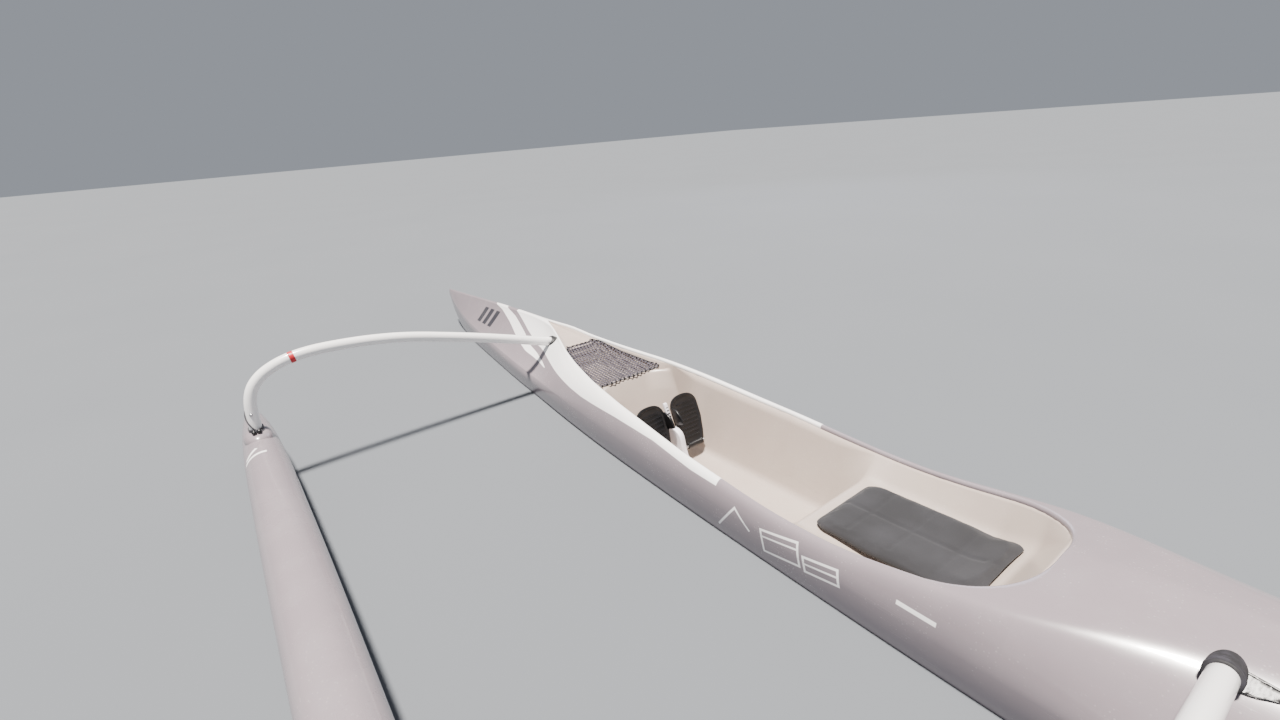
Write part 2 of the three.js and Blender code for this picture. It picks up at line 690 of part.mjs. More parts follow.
ENDS.forEach((place) => {
  const { end, x, amaTopZ } = place;
  add(`${end}_iako`, iakoTube(x), 'whiteCarbonTube');
  add(`${end}_iako_collar`, collar(place), 'blackRubber');
  add(`${end}_ama_saddle`, saddle(place), 'gelcoatGrey');
  add(`${end}_ama_lashing`, legRing(place), 'blackRubber');
  [['port', 1], ['starboard', -1]].forEach(([hand, side]) => {
    const knob = turned([[0, 0], [3, 0], [3, 2.5], [5.2, 3.2], [6.2, 6], [5.2, 10], [2.6, 11.5], [0, 11.5]], 16);
    add(`${end}_ama_knob_${hand}`, knob, 'blackPlastic',
      new THREE.Vector3(x - KNOB_AFT, AMA_Y + side * KNOB_SPREAD, amaTopZ + SADDLE_HEIGHT + GAP));
  });
});

// Rudder below the stern, its post up into the hull, and the access cap on the deck above it
function rudderBlade(topZ) {
  const outline = new THREE.Shape();
  outline.moveTo(RUDDER_CHORD * 0.3, 0);
  outline.quadraticCurveTo(RUDDER_CHORD * 0.26, RUDDER_THICKNESS / 2, 0, RUDDER_THICKNESS / 2);
  outline.quadraticCurveTo(-RUDDER_CHORD * 0.3, RUDDER_THICKNESS / 2, -RUDDER_CHORD * 0.7, 0.6);
  outline.lineTo(-RUDDER_CHORD * 0.7, -0.6);
  outline.quadraticCurveTo(-RUDDER_CHORD * 0.3, -RUDDER_THICKNESS / 2, 0, -RUDDER_THICKNESS / 2);
  outline.quadraticCurveTo(RUDDER_CHORD * 0.26, -RUDDER_THICKNESS / 2, RUDDER_CHORD * 0.3, 0);
  const blade = new THREE.ExtrudeGeometry(outline, {
    depth: RUDDER_SPAN, steps: 6, bevelEnabled: false, curveSegments: 5 }).translate(0, 0, -RUDDER_SPAN);
  const position = blade.getAttribute('position');
  for (let i = 0; i < position.count; i += 1) {
    const down = -position.getZ(i) / RUDDER_SPAN;
    const taper = 1 - 0.42 * down ** 1.6;
    position.setX(i, position.getX(i) * taper - 10 * down);
    position.setY(i, position.getY(i) * taper);
  }
  return blade.translate(rudderX, 0, topZ);
}

const rudderKeelZ = along(HULL_TABLE, HULL_COLUMNS, 'keel', RUDDER_S);
const bladeTopZ = rudderKeelZ - RUDDER_CLEARANCE - 6;
add('rudder_blade', rudderBlade(bladeTopZ), 'gelcoatGrey');
add('rudder_post', turned([
  [0, bladeTopZ + GAP], [RUDDER_POST_RADIUS, bladeTopZ + GAP], [RUDDER_POST_RADIUS, RUDDER_BORE_TOP_Z - 2],
  [0, RUDDER_BORE_TOP_Z - 2]], 16), 'paleAluminium', new THREE.Vector3(rudderX, 0, 0));

// A tall cylinder from inside the hull or ama to above it.
function upright(s, y, radius) {
  const [low, high] = [AMA_SEAM_Z, ABOVE_DECK_Z];
  return turned([[0, low], [radius, low], [radius, high], [0, high]], 24).translate(FRONT_IAKO_X + s, y, 0);
}

// A low disc that follows the surface it sits on.
function deckDisc(s, radius, height) {
  return toSolid(upright(s, 0, radius)).intersect(hullForm(height)).subtract(hullWithGap);
}

const ACCESS_CAP = { radius: 26, height: 5 };
const STERN_PLUG = { s: -2250, radius: 10, height: 4 };
const AMA_PLUG = { s: -1650, radius: 8, height: 4 };
add('rudder_access_cap', deckDisc(RUDDER_S, ACCESS_CAP.radius, ACCESS_CAP.height), 'blackPlastic');
add('stern_vent_plug', deckDisc(STERN_PLUG.s, STERN_PLUG.radius, STERN_PLUG.height), 'blackPlastic');

function amaDisc(s, radius, height) {
  return toSolid(upright(s, AMA_Y, radius)).intersect(amaForm(height)).subtract(amaWithGap);
}

add('ama_vent_plug', amaDisc(AMA_PLUG.s, AMA_PLUG.radius, AMA_PLUG.height), 'blackPlastic');

export default model;
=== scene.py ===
from functools import partial, reduce
from math import atan2, cos, pi, radians, sin, sqrt

import bmesh
import bpy
from mathutils import Matrix, Vector


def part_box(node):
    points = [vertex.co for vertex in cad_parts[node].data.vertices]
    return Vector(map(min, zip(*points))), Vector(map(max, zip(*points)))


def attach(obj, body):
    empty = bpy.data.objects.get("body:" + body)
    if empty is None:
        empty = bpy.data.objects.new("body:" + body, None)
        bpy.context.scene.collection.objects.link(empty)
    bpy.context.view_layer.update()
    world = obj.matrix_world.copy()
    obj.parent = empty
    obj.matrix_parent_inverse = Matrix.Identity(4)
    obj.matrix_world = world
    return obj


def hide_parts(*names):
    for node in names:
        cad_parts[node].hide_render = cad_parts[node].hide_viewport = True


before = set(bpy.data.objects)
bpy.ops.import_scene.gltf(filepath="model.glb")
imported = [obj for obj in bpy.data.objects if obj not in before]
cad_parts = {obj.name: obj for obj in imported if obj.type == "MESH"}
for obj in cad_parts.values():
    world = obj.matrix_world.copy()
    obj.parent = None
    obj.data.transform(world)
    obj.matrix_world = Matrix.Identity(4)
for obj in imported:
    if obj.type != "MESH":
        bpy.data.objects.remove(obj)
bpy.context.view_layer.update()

# A one-person outrigger canoe. Metres in the frame; tables and small sizes in millimetres.
# A station s is a distance ahead of the front crossbeam.
MM = 0.001
UP = Vector((0, 0, 1))


def middle(node):
    low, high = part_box(node)
    return [(a + b) / 2 for a, b in zip(low, high)]


IAKO_X = {end: middle(f"{end}_iako")[0] for end in ("front", "rear")}
BOW_S = (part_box("hull_shell")[1][0] - IAKO_X["front"]) / MM
STERN_S = (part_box("hull_shell")[0][0] - IAKO_X["front"]) / MM


def at(s, y, z):
    """A point given in millimetres from the front crossbeam, in the frame's metres."""
    return Vector((IAKO_X["front"] + s * MM, y * MM, z * MM))


# The camera, fitted to the photograph's gunwales, crossbeam, float and bow
CAMERA = {
    "place": (-0.0416, 0.9613, 0.8724),
    "yaw": -0.6139,
    "pitch": 0.3722,
    "roll": -0.0828,
    "focal_px": 584.64,
    "frame_px": 1280,
    "sensor_mm": 36,
}


def make_camera():
    yaw, pitch, roll = CAMERA["yaw"], CAMERA["pitch"], CAMERA["roll"]
    ahead = Vector((cos(yaw) * cos(pitch), sin(yaw) * cos(pitch), -sin(pitch)))
    level_right = Vector((sin(yaw), -cos(yaw), 0))
    level_up = level_right.cross(ahead)
    right = cos(roll) * level_right + sin(roll) * level_up
    up = cos(roll) * level_up - sin(roll) * level_right
    data = bpy.data.cameras.new("camera")
    data.sensor_width = CAMERA["sensor_mm"]
    data.lens = CAMERA["sensor_mm"] * CAMERA["focal_px"] / CAMERA["frame_px"]
    data.clip_start = 0.01
    camera = bpy.data.objects.new("camera", data)
    turn = Matrix((right, up, -ahead)).transposed().to_4x4()
    camera.matrix_world = Matrix.Translation(CAMERA["place"]) @ turn
    bpy.context.collection.objects.link(camera)
    bpy.context.scene.camera = camera


make_camera()

# Hull sections, bow to stern. s: station; keel: height of the keel; beam: widest half-breadth;
# beam_z: its height; edge and edge_z: where the side rolls over into the deck;
# ridge: height at the centreline; full: the shoulder's shape, under 1 hollow, 1 straight, 2 an ellipse.
HULL_COLUMNS = ("s", "keel", "beam", "beam_z", "edge", "edge_z", "ridge", "full")
HULL_TABLE = (
    (1200, 140, 6, 152, 2, 171, 174, 1.3),
    (1145, 60, 16, 140, 3, 175, 178, 1.2),
    (1070, -8, 29, 126, 4, 179, 182, 1.1),
    (960, -48, 47, 112, 5, 185, 188, 1.0),
    (760, -82, 77, 98, 6, 197, 200, 0.95),
    (450, -108, 111, 88, 8, 214, 217, 0.9),
    (150, -122, 141, 83, 10, 224, 227, 0.85),
    (0, -126, 153, 82, 28, 220, 226, 0.8),
    (-120, -129, 163, 81, 64, 197, 206, 1.0),
    (-250, -131, 174, 80, 101, 180, 194, 1.3),
    (-500, -134, 190, 78, 145, 164, 176, 1.7),
    (-900, -136, 203, 74, 178, 135, 147, 2.0),
    (-1300, -137, 206, 70, 182, 122, 138, 2.0),
    (-1600, -136, 204, 73, 156, 168, 188, 1.8),
    (-1830, -134, 198, 76, 62, 208, 218, 1.5),
    (-2300, -128, 180, 76, 40, 202, 210, 1.5),
    (-3000, -108, 140, 78, 30, 182, 189, 1.45),
    (-3700, -75, 92, 84, 20, 166, 171, 1.4),
    (-4250, -34, 50, 92, 12, 156, 160, 1.4),
    (-4650, 8, 22, 100, 6, 150, 153, 1.4),
    (-4820, 62, 7, 110, 2, 144, 147, 1.4),
)

# Cockpit, front to back. s: station; top: half-width at the rim; floor and floor_z: the floor's.
COCKPIT_COLUMNS = ("s", "top", "floor", "floor_z")
COCKPIT_TABLE = (
    (104, 0, 0, 223),
    (95, 3, 2, 220),
    (0, 28, 16, 205),
    (-100, 57, 40, 184),
    (-120, 63, 48, 180),
    (-134, 67, 49, 178),
    (-160, 75, 50, 108),
    (-250, 97, 66, 98),
    (-380, 123, 88, 94),
    (-400, 127, 121, 142),
    (-420, 130, 124, 142),
    (-452, 135, 124, 80),
    (-484, 139, 117, 15),
    (-512, 142, 104, -46),
    (-530, 144, 94, -72),
    (-580, 150, 94, -72),
    (-900, 174, 108, -72),
    (-1090, 179, 110, -72),
    (-1140, 180, 118, 0),
    (-1185, 180, 124, 70),
    (-1235, 179, 127, 66),
    (-1335, 177, 127, 64),
    (-1485, 166, 122, 70),
    (-1560, 150, 100, 104),
    (-1605, 142, 60, 168),
    (-1622, 134, 0, 192),
)

# Ama sections, nose to tail. s: station; keel and top: heights of the keel and the crown; half: half-width.
AMA_COLUMNS = ("s", "keel", "half", "top")
AMA_TABLE = (
    (335, 84, 5, 120),
    (290, 50, 18, 140),
    (200, 10, 35, 153),
    (0, -22, 49, 162),
    (-400, -42, 56.5, 161),
    (-900, -50, 60, 160),
    (-1400, -45, 59, 160),
    (-1830, -28, 52, 160),
    (-2050, -4, 38, 150),
    (-2150, 26, 22, 136),
    (-2200, 70, 6.5, 120),
)
AMA_Y = 994
AMA_SEAM_Z = 100

# Centreline of a crossbeam as (y, z), from its socket in the hull to its foot on the ama
IAKO_ROUTE = (
    (-20, 160), (60, 182), (180, 222), (300, 261), (420, 297), (540, 329), (640, 347), (740, 357),
    (810, 359), (862, 354), (906, 342), (944, 322), (970, 295), (986, 254), (994, 165.5),
)
IAKO_RADIUS = 16


def rows_beside(table, s):
    """A table's rows from stern to bow, the station kept within them, and which row is just ahead of it."""
    rows = table[::-1]
    s = min(max(s, rows[0][0]), rows[-1][0])
    return rows, s, next(i for i in range(1, len(rows)) if rows[i][0] >= s)


def smooth_values(table, s):
    """A table's columns at a station, on the cubic that passes through its rows."""
    rows, s, after = rows_beside(table, s)
    low, high = rows[after - 1], rows[after]
    first = after < 2
    last = after + 1 == len(rows)
    before = high if first else rows[after - 2]
    beyond = low if last else rows[after + 1]
    before_s = 2 * low[0] - high[0] if first else before[0]
    beyond_s = 2 * high[0] - low[0] if last else beyond[0]
    half = (high[0] - low[0]) / 2
    # How strongly the rows outside low and high bend the cubic between them
    aft_pull = half / (low[0] - before_s)
    fore_pull = half / (beyond_s - high[0])
    p = (s - low[0]) / (high[0] - low[0])
    square, cube = p ** 2, p ** 3
    weights = (-aft_pull * cube + 2 * aft_pull * square - aft_pull * p,
               (1 + aft_pull) * cube - (1.5 + 2 * aft_pull) * square + (aft_pull - 0.5) * p + 1,
               (1.5 + fore_pull) * square - (1 + fore_pull) * cube + 0.5 * p,
               fore_pull * cube - fore_pull * square)
    return [sum(w * row[k] for w, row in zip(weights, (before, low, high, beyond)))
            for k in range(len(rows[0]))]


def straight_values(table, s):
    """A table's columns at a station, straight between its rows."""
    rows, s, after = rows_beside(table, s)
    low, high = rows[after - 1], rows[after]
    p = (s - low[0]) / (high[0] - low[0])
    return [a + (b - a) * p for a, b in zip(low, high)]


def hull_row(s):
    return dict(zip(HULL_COLUMNS, smooth_values(HULL_TABLE, s)))


def cockpit_row(s):
    return dict(zip(COCKPIT_COLUMNS, straight_values(COCKPIT_TABLE, s)))


def ama_row(s):
    return dict(zip(AMA_COLUMNS, smooth_values(AMA_TABLE, s)))


def arc(full, p):
    """A quarter of a superellipse from (1, 0) at p 0 to (0, 1) at p 1."""
    angle = pi / 2 * min(max(p, 0), 1)
    return max(cos(angle), 0) ** (2 / full), max(sin(angle), 0) ** (2 / full)


# Materials

def srgb(code):
    """An sRGB hex colour as Blender's linear one."""
    parts = [int(code[i:i + 2], 16) / 255 for i in (0, 2, 4)]
    return (*(c / 12.92 if c <= 0.04045 else ((c + 0.055) / 1.055) ** 2.4 for c in parts), 1.0)


def scale_for(size):
    """A pattern's scale from the size of its features in millimetres."""
    return 1 / (size * MM)


def fill(material, made, inputs):
    """Links sockets to a node's inputs, by name or number, and sets plain values on the others."""
    for key, value in inputs.items():
        if isinstance(value, bpy.types.NodeSocket):
            material.node_tree.links.new(value, made.inputs[key])
        else:
            made.inputs[key].default_value = value


def node(material, kind, inputs, output=0, **settings):
    """Adds one shader node with its settings and links, and gives one of its outputs."""
    made = material.node_tree.nodes.new("ShaderNode" + kind)
    for name, value in settings.items():
        setattr(made, name, value)
    fill(material, made, inputs)
    return made.outputs[output]


def new_material(name):
    """A new material, what adds a node to it, and its Object coordinates."""
    material = bpy.data.materials.new(name)
    material.use_nodes = True
    add = partial(node, material)
    return material, add, add("TexCoord", {}, "Object")


def finished(material, inputs):
    """The material, with sockets and plain values on its Principled shader."""
    fill(material, material.node_tree.nodes["Principled BSDF"], inputs)
    return material


def in_millimetres(add, place):
    """The station, the distance to port and the height of a point, in millimetres."""
    from_beam = (-IAKO_X["front"] / MM, 0, 0)
    scaled = add("Mapping", {"Vector": place, "Location": from_beam, "Scale": (1 / MM,) * 3})
    return add("SeparateXYZ", {0: scaled}).node.outputs


def lengthwise_marks(add, place, length, width, detail=2.0, roughness=0.5):
    """Grain drawn out along the boat, its marks of a length and a width in millimetres."""
    scale = (scale_for(length), scale_for(width), scale_for(width))
    combed = add("Mapping", {"Vector": place, "Scale": scale})
    return add("TexNoise", {"Vector": combed, "Scale": 1.0, "Detail": detail, "Roughness": roughness})


def gelcoat_look(add, place, colour, roughness, wear=0.5):
    """Sprayed gloss over a laminate: slow colour drift, fine scuffs, dried salt and slight waviness."""
    drift = add("TexNoise", {"Vector": place, "Scale": scale_for(588)})
    haze = add("TexNoise", {"Vector": place, "Scale": scale_for(91), "Detail": 4.0, "Roughness": 0.6})
    haze = add("MapRange", {0: haze, 1: 0.42, 2: 0.78})
    # Specks of dried salt, 1 to 2 mm across and 8 mm apart, only where the haze is
    cells = add("TexVoronoi", {"Vector": place, "Scale": scale_for(7.7)})
    specks = add("MapRange", {0: cells, 1: 0.22, 2: 0.10})
    specks = add("Math", {0: specks, 1: haze}, operation="MULTIPLY")
    scuffs = add("MapRange", {0: lengthwise_marks(add, place, 143, 1.25), 1: 0.60, 2: 0.72})
    faded = add("Math", {0: drift, 1: 0.09}, operation="MULTIPLY")
    base = add("Mix", {0: faded, 6: colour, 7: srgb("8d878c")}, 2, data_type="RGBA")
    pale = add("Math", {0: haze, 1: 0.06 * wear}, operation="MULTIPLY")
    pale = add("Math", {0: specks, 1: 0.34 * wear, 2: pale}, operation="MULTIPLY_ADD")
    base = add("Mix", {0: pale, 6: base, 7: srgb("e9e6e2")}, 2, data_type="RGBA")
    for marks, gain in ((haze, 0.10), (specks, 0.30), (scuffs, 0.10)):
        roughness = add("Math", {0: marks, 1: gain * wear, 2: roughness}, operation="MULTIPLY_ADD")
    waves = add("TexNoise", {"Vector": place, "Scale": scale_for(200), "Detail": 1.0})
    relief = add("Bump", {"Height": waves, "Strength": 0.25, "Distance": 0.8 * MM})
    return {"Base Color": base, "Roughness": roughness, "Normal": relief}


# Where the paint goes on the hull, in millimetres. s: station; z: height of the line's edge.
# The wide white band's lower edge, from the ridge ahead of the cockpit to its point beside the seat
BAND_EDGE = ((355, 219), (277, 197), (208, 178), (147, 165), (80, 151), (10, 145), (-49, 141), (-125, 137),
             (-219, 133), (-320, 129), (-400, 128), (-478, 130), (-600, 134), (-702, 134), (-781, 133),
             (-876, 125), (-935, 120), (-1022, 118))
# The band's upper edge where it leaves the rim aft, down to its end
BAND_TOP = ((-890, 175), (-922, 146), (-950, 141), (-976, 137), (-997, 134), (-1022, 129))
# The thin white stripe ahead of it: its lower and upper edges
STRIPE_LOW = ((600, 222), (576, 212), (490, 201), (378, 174), (291, 150), (226, 134), (135, 121), (38, 116),
              (-63, 116), (-75, 118))
STRIPE_HIGH = ((475, 222), (447, 216), (352, 200), (280, 181), (209, 163), (127, 141), (19, 126), (-50, 121),
               (-75, 118))
# The joint between hull and deck mouldings runs at the beam's height
SEAM = tuple((row[0], row[3]) for row in HULL_TABLE)
SEAM_HALF = 0.5
# Stations that the curves of the paint and of the seam cover, and the height at their top
PAINT_SPAN = (-1100.0, 700.0)
SEAM_SPAN = (-4900.0, 1300.0)
CURVE_TOP_Z = 300.0

# Slanted bars at the bow. low and high: their slope along the boat and height at the front crossbeam
BOW_BARS = {"from": 500.0, "pitch": 62.0, "span": (12.0, 50.0), "count": 3, "lean": 0.45, "lean_z": 160.0,
            "low": (-0.02, 136.0), "high": (-0.045, 212.0)}

# Plain marks beside the seat. The row starts at a station and height and runs aft, rising a little.
SIDE_MARKS_FROM = (-1161.0, 86.0)
SIDE_MARKS_TURN = radians(180 - 11.3)
# Boxes as distances along the row and down from it: from, to, top, bottom
SIDE_BOXES = ((-1.0, 98.0, 0.0, 55.0), (105.0, 188.0, 24.0, 61.0))
SIDE_PEAK = ((-1036, 28), (-1087, 96), (-1130, 62))
SIDE_DASH = ((-1466, 105), (-1526, 105))
SIDE_DASH_WIDTH = 8.0
LINE_WIDTH = 5.0

# Each dash on the ama from one (s, y) to another
AMA_DASHES = (((-103, 1010), (-119, 1031)), ((-139, 990), (-137, 1034)))
AMA_DASH_WIDTH = 10.0

WHITE_LACQUER = srgb("f6f5f4")
GELCOAT_GREY = srgb("81777c")


def line_height(add, s, points, span):
    """The height of a painted edge at a station, by a curve over the stations of span."""
    low_s, high_s = span
    share = add("MapRange", {0: s, 1: low_s, 2: high_s})
    height = add("FloatCurve", {"Factor": 1.0, "Value": share})
    mapping = height.node.mapping
    curve = mapping.curves[0]
    spots = sorted(((edge_s - low_s) / (high_s - low_s), z / CURVE_TOP_Z) for edge_s, z in points)
    while len(curve.points) < len(spots):
        curve.points.new(0.5, 0.5)
    for point, spot in zip(curve.points, spots):
        point.location = spot
        point.handle_type = "VECTOR"
    mapping.extend = "HORIZONTAL"
    mapping.update()
    return add("Math", {0: height, 1: CURVE_TOP_Z}, operation="MULTIPLY")


def joined(add, operation, *masks):
    """Several masks as one: by MULTIPLY where all of them hold, by MAXIMUM where any does."""
    return reduce(lambda a, b: add("Math", {0: a, 1: b}, operation=operation), masks)


def within(add, value, low=None, high=None, soft=0.6):
    """1 where value is above low and below high, fading over soft to either side of each."""
    masks = []
    if low is not None:
        masks.append(add("MapRange", {0: value, 1: low - soft, 2: low + soft}))
    if high is not None:
        masks.append(add("MapRange", {0: value, 1: high + soft, 2: high - soft}))
    return joined(add, "MULTIPLY", *masks)


def along_and_off(add, u, v, start, angle):
    """How far a point lies along and off a line that leaves start at an angle, in the plane of u and v."""
    from_u = add("Math", {0: u, 1: start[0]}, operation="SUBTRACT")
    from_v = add("Math", {0: v, 1: start[1]}, operation="SUBTRACT")
    found = []
    for share_u, share_v in ((cos(angle), sin(angle)), (-sin(angle), cos(angle))):
        rest = add("Math", {0: from_v, 1: share_v}, operation="MULTIPLY")
        found.append(add("Math", {0: from_u, 1: share_u, 2: rest}, operation="MULTIPLY_ADD"))
    return found


def stroke(add, u, v, start, end, width):
    """A straight painted stroke of a width in millimetres, from one place to another."""
    run, rise = end[0] - start[0], end[1] - start[1]
    along, off = along_and_off(add, u, v, start, atan2(rise, run))
    half = width / 2
    return joined(add, "MULTIPLY", within(add, along, -half, sqrt(run ** 2 + rise ** 2) + half),
                  within(add, off, -half, half))


def bow_bars(add, s, height):
    """Three plain slanted bars on each side of the bow, 38 mm wide and 62 mm apart."""
    start, pitch = BOW_BARS["from"], BOW_BARS["pitch"]
    lean = add("Math", {0: height, 1: BOW_BARS["lean_z"]}, operation="SUBTRACT")
    lean = add("Math", {0: lean, 1: BOW_BARS["lean"], 2: s}, operation="MULTIPLY_ADD")
    from_start = add("Math", {0: lean, 1: start}, operation="SUBTRACT")
    in_pitch = add("Math", {0: from_start, 1: pitch}, operation="MODULO")
    masks = [within(add, in_pitch, *BOW_BARS["span"], soft=0.8),
             within(add, lean, start, start + BOW_BARS["count"] * pitch, soft=0.8)]
    for edge in ("low", "high"):
        slope, edge_z = BOW_BARS[edge]
        line = add("Math", {0: s, 1: slope, 2: edge_z}, operation="MULTIPLY_ADD")
        over = add("Math", {0: height, 1: line}, operation="SUBTRACT")
        masks.append(within(add, over, soft=0.8, **{edge: 0.0}))
    return joined(add, "MULTIPLY", *masks)


def side_outlines(add, s, height):
    """A peak and two outlined boxes beside the seat, and a short dash aft of them."""
    along, down = along_and_off(add, s, height, SIDE_MARKS_FROM, SIDE_MARKS_TURN)
    marks = [stroke(add, s, height, *SIDE_DASH, SIDE_DASH_WIDTH)]
    marks += [stroke(add, s, height, a, b, LINE_WIDTH) for a, b in zip(SIDE_PEAK, SIDE_PEAK[1:])]
    for low, high, top, bottom in SIDE_BOXES:
        outer, inner = (joined(add, "MULTIPLY", within(add, along, low + inset, high - inset),
                               within(add, down, top + inset, bottom - inset)) for inset in (0.0, LINE_WIDTH))
        border = add("Math", {0: 1.0, 1: inner}, operation="SUBTRACT")
        second = within(add, down, top + 3 * LINE_WIDTH, top + 3.8 * LINE_WIDTH)
        marks.append(joined(add, "MULTIPLY", outer, joined(add, "MAXIMUM", border, second)))
    return joined(add, "MAXIMUM", *marks)


def hull_gelcoat():
    """Two-part gelcoat over carbon, sprayed and polished: light warm grey with white lacquered bands, hard
    edges between colours, a glossy coat and a little dried salt."""
    material, add, place = new_material("sprayed_gelcoat_grey_and_white")
    s, _, height = in_millimetres(add, place)

    def over(points, span=PAINT_SPAN):
        """How far above a painted edge a point lies."""
        line = line_height(add, s, points, span)
        return add("Math", {0: height, 1: line}, operation="SUBTRACT")

    ahead_of_end = within(add, s, low=BAND_TOP[0][0])
    under_top = joined(add, "MAXIMUM", ahead_of_end, within(add, over(BAND_TOP), high=0.0))
    band = joined(add, "MULTIPLY", within(add, over(BAND_EDGE), low=0.0),
                  within(add, s, BAND_EDGE[-1][0], BAND_EDGE[0][0]), under_top)
    stripe = joined(add, "MULTIPLY", within(add, over(STRIPE_LOW), low=0.0),
                    within(add, over(STRIPE_HIGH), high=0.0),
                    within(add, s, STRIPE_LOW[-1][0], STRIPE_LOW[0][0]))
    white = joined(add, "MAXIMUM", band, stripe, side_outlines(add, s, height))
    base = add("Mix", {0: white, 6: GELCOAT_GREY, 7: WHITE_LACQUER}, 2, data_type="RGBA")
    base = add("Mix", {0: bow_bars(add, s, height), 6: base, 7: srgb("232228")}, 2, data_type="RGBA")
    seam = within(add, over(SEAM, SEAM_SPAN), -SEAM_HALF, SEAM_HALF, 0.3)
    seam = add("Math", {0: seam, 1: 0.35}, operation="MULTIPLY")
    base = add("Mix", {0: seam, 6: base, 7: srgb("77727a")}, 2, data_type="RGBA")
    look = gelcoat_look(add, place, base, 0.22)
    return finished(material, {**look, "IOR": 1.5, "Coat Weight": 0.35, "Coat Roughness": 0.08})


def ama_gelcoat():
    """The same grey gelcoat on the float, with two slanted white dashes behind the foot."""
    material, add, place = new_material("sprayed_gelcoat_grey")
    s, across, height = in_millimetres(add, place)
    dashes = [stroke(add, s, across, start, end, AMA_DASH_WIDTH) for start, end in AMA_DASHES]
    upper = within(add, height, low=AMA_SEAM_Z, soft=0.5)
    marks = joined(add, "MULTIPLY", joined(add, "MAXIMUM", *dashes), upper)
    base = add("Mix", {0: marks, 6: GELCOAT_GREY, 7: WHITE_LACQUER}, 2, data_type="RGBA")
    look = gelcoat_look(add, place, base, 0.26)
    return finished(material, {**look, "IOR": 1.5, "Coat Weight": 0.35, "Coat Roughness": 0.08})


def liner_gelcoat():
    """Ivory gelcoat of the cockpit moulding, half gloss, with scuff marks that grow darker towards the
    bottom.
    """
    material, add, place = new_material("moulded_gelcoat_ivory")
    scuffs = add("MapRange", {0: lengthwise_marks(add, place, 37, 5.56, 6.0, 0.7), 1: 0.56, 2: 0.72})
    # The scuff marks grow darker from 90 mm above the waterline down to 90 mm below it
    low = within(add, in_millimetres(add, place)[2], high=0.0, soft=90.0)
    worn = add("Math", {0: low, 1: 0.35, 2: 0.08}, operation="MULTIPLY_ADD")
    worn = add("Math", {0: scuffs, 1: worn}, operation="MULTIPLY")
    base = add("Mix", {0: worn, 6: srgb("ab9d93"), 7: srgb("81766e")}, 2, data_type="RGBA")
    look = gelcoat_look(add, place, base, 0.34, 0.7)
    return finished(material, {**look, "IOR": 1.5, "Coat Weight": 0.15, "Coat Roughness": 0.2})


def tube_lacquer():
    """White lacquer over a moulded composite tube: smooth, glossy, with faint lengthwise waviness."""
    material, add, place = new_material("white_lacquered_tube")
    look = gelcoat_look(add, place, WHITE_LACQUER, 0.2, 0.35)
    return finished(material, {**look, "IOR": 1.5, "Coat Weight": 0.5, "Coat Roughness": 0.06})


def moulded_plastic(name, colour, roughness):
    """Injection-moulded plastic with a spark-eroded grain and a slightly polished look where it is handled.
    The real grain is about 0.1 mm; it is drawn ten times as coarse, or it wouldn't show."""
    material, add, place = new_material(name)
    grain = add("TexNoise", {"Vector": place, "Scale": scale_for(1.1), "Detail": 3.0})
    handled = add("TexNoise", {"Vector": place, "Scale": scale_for(35.7), "Detail": 3.0})
    polish = add("MapRange", {0: handled, 1: 0.45, 2: 0.75, 4: 0.7})
    lighter = tuple(min(1.0, c * 1.4 + 0.004) for c in colour[:3]) + (1,)
    return finished(material, {
        "Base Color": add("Mix", {0: polish, 6: colour, 7: lighter}, 2, data_type="RGBA"),
        "Roughness": add("Math", {0: handled, 1: -0.18, 2: roughness + 0.08}, operation="MULTIPLY_ADD"),
        "Normal": add("Bump", {"Height": grain, "Strength": 0.5, "Distance": 0.12 * MM}),
        "IOR": 1.49})


def sleeve_rubber():
    """Moulded rubber: matt black, a fine grain, drawn coarse enough to show, and grey bloom."""
    material, add, place = new_material("moulded_rubber_black")
    bloom = add("TexNoise", {"Vector": place, "Scale": scale_for(16.7), "Detail": 4.0})
    bloom = add("MapRange", {0: bloom, 1: 0.42, 2: 0.8})
    grain = add("TexNoise", {"Vector": place, "Scale": scale_for(1.1)})
    return finished(material, {
        "Base Color": add("Mix", {0: bloom, 6: srgb("161518"), 7: srgb("34323a")}, 2, data_type="RGBA"),
        "Normal": add("Bump", {"Height": grain, "Strength": 0.6, "Distance": 0.15 * MM}),
        "Roughness": 0.75, "IOR": 1.52})


def anodised_aluminium():
    """Extruded aluminium, satin anodised: bright, with die lines along its length."""
    material, add, place = new_material("anodised_aluminium")
    lines = lengthwise_marks(add, place, 83.3, 0.625, 3.0)
    return finished(material, {
        "Base Color": add("Mix", {0: lines, 6: srgb("b7babd"), 7: srgb("d6d8da")}, 2, data_type="RGBA"),
        "Roughness": add("Math", {0: lines, 1: 0.2, 2: 0.24}, operation="MULTIPLY_ADD"),
        "Normal": add("Bump", {"Height": lines, "Strength": 0.25, "Distance": 0.08 * MM}),
        "Metallic": 1.0})


def stainless_steel():
    """Turned stainless fastener: neutral, quite bright, with fine tool marks blurred into its gloss."""
    material, add, place = new_material("stainless_steel")
    marks = add("TexNoise", {"Vector": place, "Scale": scale_for(1.43), "Detail": 3.0})
    return finished(material, {
        "Base Color": add("Mix", {0: marks, 6: srgb("a9aaac"), 7: srgb("d0d1d2")}, 2, data_type="RGBA"),
        "Roughness": add("Math", {0: marks, 1: 0.18, 2: 0.2}, operation="MULTIPLY_ADD"),
        "Metallic": 1.0})


# The cord's braid: its pitch along the cord, and how many strands go round it each way
BRAID_PITCH = 3.4
BRAID_STRANDS = 4


